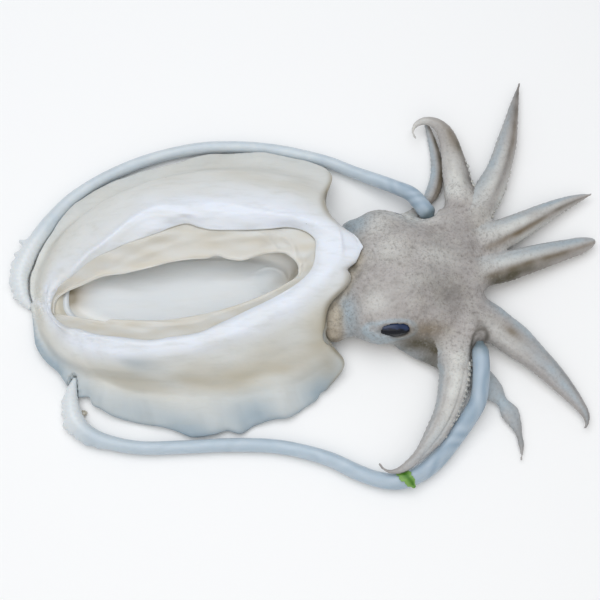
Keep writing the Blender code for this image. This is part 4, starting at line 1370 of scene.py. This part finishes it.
surface, core = leaf_surface()
core = np.append(core.ravel(), [0, 1])
leaf_mesh = new_mesh("leaf_scrap", close(surface), loft_faces(LEAF_STEPS, LEAF_ACROSS))
leaf = new_piece("leaf_scrap", leaf_mesh, {"core": core})

# %% [markdown]
# ## Finishes
#
# Raw flesh is not painted: light goes a few millimetres into it and comes out again, and a film
# of water lies on top. So each finish is a Principled shader with some subsurface scattering
# under a thin coat. Its colour starts from one flesh colour and is overlaid with others where
# the masks on the surface say so. Fine speckles and wrinkles come from noise, whose scale is
# worked out from a size in millimetres.


# %% Material helpers
FLESH_IOR = 1.38


def new_material(name, subsurface, depth, roughness, coat):
    """A wet flesh: how much light goes in and how deep in millimetres, and the wet film."""
    material = bpy.data.materials.new(name)
    material.use_nodes = True
    shader = material.node_tree.nodes["Principled BSDF"]
    shader.inputs["IOR"].default_value = FLESH_IOR
    shader.inputs["Subsurface Weight"].default_value = subsurface
    shader.inputs["Subsurface Radius"].default_value = (1.0, 0.8, 0.65)
    shader.inputs["Subsurface Scale"].default_value = depth * MM
    shader.inputs["Roughness"].default_value = roughness
    shader.inputs["Coat Weight"].default_value = coat
    shader.inputs["Coat Roughness"].default_value = 0.16
    return material, material.node_tree, shader


def overlaid(tree, colour, layers):
    """Mix colours over each other, each by its weight: a mask's name or another socket.

    The colours of a Mix node are its inputs 6 and 7, and the mixed colour is its output 2.
    """
    for weight, code in layers:
        if isinstance(weight, str):
            weight = add(tree, "Attribute", attribute_name=weight).outputs["Fac"]
        mixed = add(tree, "Mix", {0: weight, 6: colour, 7: linear(code)}, data_type="RGBA")
        colour = mixed.outputs[2]
    return colour


def pattern(tree, size, stretch=(1, 1, 1), detail=2.0, turned=0.0):
    """Cloudy noise whose blobs are about size millimetres wide, stretched along some axes."""
    place = add(tree, "TexCoord").outputs["Object"]
    mapped = add(tree, "Mapping", {"Vector": place, "Scale": stretch, "Rotation": (0, 0, turned)})
    return add(tree, "TexNoise", {"Vector": mapped.outputs[0], "Scale": 0.5 / (size * MM),
                                  "Detail": detail, "Roughness": 0.55}).outputs["Fac"]


def between(tree, value, low, high, most=1.0):
    """Bring a value from low..high to 0..most, held inside it."""
    return add(tree, "MapRange", {"Value": value, "From Min": low, "From Max": high,
                                  "To Max": most}).outputs["Result"]


def dots(tree, spacing, size, share, most):
    """Round dots of skin pigment: a weight that is most inside each dot.

    Each Voronoi cell is spacing millimetres wide and has one dot, size millimetres in radius,
    and share of the cells have one that shows.
    """
    place = add(tree, "TexCoord").outputs["Object"]
    cells = add(tree, "TexVoronoi", {"Vector": place, "Scale": 1 / (spacing * MM)})
    radius = size / spacing
    spot = between(tree, cells.outputs["Distance"], radius, radius * 0.5)
    picked = add(tree, "SeparateColor", {"Color": cells.outputs["Color"]}).outputs["Red"]
    chosen = between(tree, picked, share + 0.02, share - 0.02, most)
    return add(tree, "Math", {0: spot, 1: chosen}, operation="MULTIPLY").outputs[0]


def relief(tree, shader, layers):
    """Chain bumps, each a pattern and its height in millimetres, into the shader's normal."""
    normal = None
    for height, millimetres in layers:
        inputs = {"Height": height, "Distance": millimetres * MM, "Strength": 1.0}
        if normal:
            inputs["Normal"] = normal
        normal = add(tree, "Bump", inputs).outputs[0]
    tree.links.new(normal, shader.inputs["Normal"])


def dressed(material, shader, colour, bumps=()):
    """The material, once its colour and its relief are joined to its shader."""
    tree = material.node_tree
    tree.links.new(colour, shader.inputs["Base Color"])
    if bumps:
        relief(tree, shader, bumps)
    return material


# %% Skinned mantle muscle
# The thick white muscle with its skin pulled off. It is faintly translucent, so it glows in
# the folds, and fine fibres run along it. The fins are thin enough to look blue.
def skinned_muscle():
    """The finish of the mantle."""
    material, tree, shader = new_material("skinned_mantle_muscle", 0.3, 4.0, 0.42, 0.2)
    fibres = pattern(tree, 1.6, (0.22, 1, 1), 3, math.radians(-7))
    blotch = pattern(tree, 14, (0.5, 1, 1), 3)
    # The bluish white layer carries painted highlight, and the beige, blue-grey and brown layers carry
    # painted shade in places.
    colour = overlaid(tree, linear("D9DAD6"), (
        (between(tree, blotch, 0.45, 0.75, 0.4), "CBC7BA"), ("beige_and_shade", "C0B8A3"), ("bluish_white_and_highlight", "E4E9F1"),
        ("blue", "9BAAB3"), ("rim", "8798A4"), ("brown_edge_and_shade", "8C8168"),
        (between(tree, fibres, 0.5, 0.75, 0.22), "B5B5AC"), (dots(tree, 9, 0.35, 0.1, 0.8), "3E3A38")))
    return dressed(material, shader, colour, ((fibres, 0.12), (pattern(tree, 3.5, (0.5, 1, 1), 2), 0.25)))


# %% Wet membrane
# Tissue a few tenths of a millimetre thick, stretched over the muscle, wetter than the rest.
def wet_membrane():
    """The finish of the shell sac."""
    material, tree, shader = new_material("wet_shell_sac_membrane", 0.3, 3.0, 0.34, 0.35)
    streaks = pattern(tree, 2.2, (0.18, 1, 1), 3, math.radians(-7))
    # The lit layer is painted light under the shelf, and the brown layer is painted shade in the pits and
    # hollows.
    colour = overlaid(tree, linear("DADDDE"), (
        ("lit", "F3F2EE"), ("beige_and_shade", "C9C3B4"), ("cream", "ECE9E0"), ("clear", "CDD4D8"), ("brown_and_shade", "8F8570"),
        (between(tree, streaks, 0.52, 0.75, 0.2), "CDCCC4"), (dots(tree, 11, 0.35, 0.1, 0.7), "4A4540")))
    return dressed(material, shader, colour, ((streaks, 0.14), (pattern(tree, 4, (0.5, 1, 1), 2), 0.2)))


# %% Speckled head skin
# Living skin with its pigment cells shut to fine dots. The dots are 0.1 to 0.3 mm on the real
# animal, and are drawn up to 0.6 mm across so that the grain shows.
def speckled_skin():
    """The finish of the head and arms."""
    material, tree, shader = new_material("speckled_head_skin", 0.18, 2.0, 0.46, 0.22)
    blotch, mottle = pattern(tree, 11, (1, 1, 1), 3), pattern(tree, 4.5, (1, 1, 1), 4)
    grain, fine = pattern(tree, 1.0, (1, 1, 1), 3), pattern(tree, 0.55, (1, 1, 1), 2)
    spread = add(tree, "Attribute", attribute_name="spread").outputs["Fac"]
    # Pale and blue are partly painted light and highlight here, and dark, brown and olive are partly painted
    # shade.
    tints = [("pale", "D4D4CF"), ("dark", "77736F"), ("blue", "A8B4BB"), ("tan", "BDB29C"),
             ("brown_and_shade", "73654F"), ("olive_shade", "524C3A")]
    clouds = [(between(tree, blotch, 0.48, 0.68, 0.5), "96918D"),
              (between(tree, blotch, 0.46, 0.3, 0.5), "B6B2A8"),
              (between(tree, mottle, 0.5, 0.68, 0.5), "8E8985"),
              (between(tree, mottle, 0.46, 0.32, 0.5), "BDBAB4")]
    specks = [(between(tree, grain, 0.52, 0.68, 0.45), "75706A"),
              (between(tree, grain, 0.46, 0.3, 0.18), "C4C1BB"),
              (between(tree, fine, 0.55, 0.7, 0.35), "69635D"),
              (dots(tree, 1.0, 0.3, 0.25, 0.5), "554E47")]

    def thinned(rows):
        """The same weights, less where the skin is smooth."""
        return [(add(tree, "Math", {0: weight, 1: spread}, operation="MULTIPLY").outputs[0], code)
                for weight, code in rows]

    colour = overlaid(tree, linear("ADA8A5"), thinned(clouds) + tints + thinned(specks))
    return dressed(material, shader, colour, (
        (fine, 0.12), (grain, 0.28), (pattern(tree, 2.2, (1, 1, 1), 2), 0.45)))


# %% Tentacle skin
# Smooth skin over clear muscle, so it looks blue as thin milk does.
def tentacle_skin():
    """The finish of the two feeding tentacles."""
    material, tree, shader = new_material("translucent_tentacle_skin", 0.3, 3.0, 0.36, 0.35)
    blotch = pattern(tree, 7, (1, 1, 1), 3)
    streak = between(tree, add(tree, "Attribute", attribute_name="streak").outputs["Fac"], 0, 1, 0.4)
    low = between(tree, add(tree, "Attribute", attribute_name="low").outputs["Fac"], 0, 1, 0.8)
    # The deep, low and root layers are painted shade.
    colour = overlaid(tree, linear("B4C4D0"), (
        ("deep", "96AABA"), ("milky", "D0D8DC"), (between(tree, blotch, 0.45, 0.7, 0.35), "A4B3BF"),
        (streak, "C4D0DA"), (low, "98AAB8"), ("club", "DDE2E4"), ("root", "66757B")))
    return dressed(material, shader, colour, ((pattern(tree, 1.5, (1, 1, 1), 3), 0.12),))


# %% Eye
# The cornea is clear over a near-black pupil, with a navy sheen above.
def wet_cornea():
    """The finish of the eyeballs."""
    material, tree, shader = new_material("wet_cornea", 0.0, 1.0, 0.25, 0.1)
    cloud = between(tree, pattern(tree, 2.5, (0.5, 1, 1), 3), 0.35, 0.7, 0.4)
    colour = overlaid(tree, linear("0B0E15"), (("upper", "2C3B5C"), (cloud, "161D2E")))
    return dressed(material, shader, colour)


# %% Suckers and scraps
# Suckers are pale and rubbery, with a little shade in the cup. The leaf is thin and waxy.
def sucker_flesh(name, light, dark):
    """The finish of cups: a pale rim and a darker hollow."""
    material, tree, shader = new_material(name, 0.3, 1.5, 0.38, 0.3)
    cloud = between(tree, pattern(tree, 6, (1, 1, 1), 2), 0.4, 0.7, 0.5)
    colour = overlaid(tree, linear(light), ((cloud, "C9C7BF"), ("hollow", dark)))
    return dressed(material, shader, colour)


def green_leaf():
    """The finish of the scrap of leaf: dark along its middle, with fine veins."""
    material, tree, shader = new_material("soft_green_leaf", 0.15, 0.6, 0.45, 0.2)
    veins = pattern(tree, 0.8, (0.3, 1, 1), 3, math.radians(50))
    colour = overlaid(tree, linear("82AC58"), (
        ("core", "3C7408"), (between(tree, veins, 0.5, 0.7, 0.4), "4F8420")))
    return dressed(material, shader, colour, ((veins, 0.15),))


arm_suckers.data.materials.append(sucker_flesh("arm_sucker_flesh", "C9C9C4", "A8A6A0"))
loose_sucker.data.materials.append(sucker_flesh("dried_sucker_ring", "A7A08F", "D9D6CC"))
leaf.data.materials.append(green_leaf())
mantle.data.materials.append(skinned_muscle())
sac.data.materials.append(wet_membrane())
head.data.materials.append(speckled_skin())
tentacle_finish = tentacle_skin()
for piece in (far_tentacle, near_tentacle):
    piece.data.materials.append(tentacle_finish)
cornea_finish = wet_cornea()
for piece in eyes.values():
    piece.data.materials.append(cornea_finish)

# %% [markdown]
# ## What each piece rides on and stands for

# %% Ride and replace
STANDS_FOR = (
    (mantle, "mantle", "mantle_flesh"), (sac, "shell_sac", "membrane"),
    (head, "head_and_arms", "speckled_skin"), (far_tentacle, "tentacle_far", "tentacle_skin"),
    (near_tentacle, "tentacle_near", "tentacle_skin"),
    (eyes["near_eye_cornea"], "eye_near", "eye"), (eyes["far_eye_cornea"], "eye_far", "eye"),
)
for piece, node, slot in STANDS_FOR:
    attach(piece, "root")
    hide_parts(node)
SMALL_THINGS = (
    (arm_suckers, "speckled_skin"), (loose_sucker, "tentacle_skin"), (leaf, "leaf_scrap"),
)
for piece, slot in SMALL_THINGS:
    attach(piece, "root")
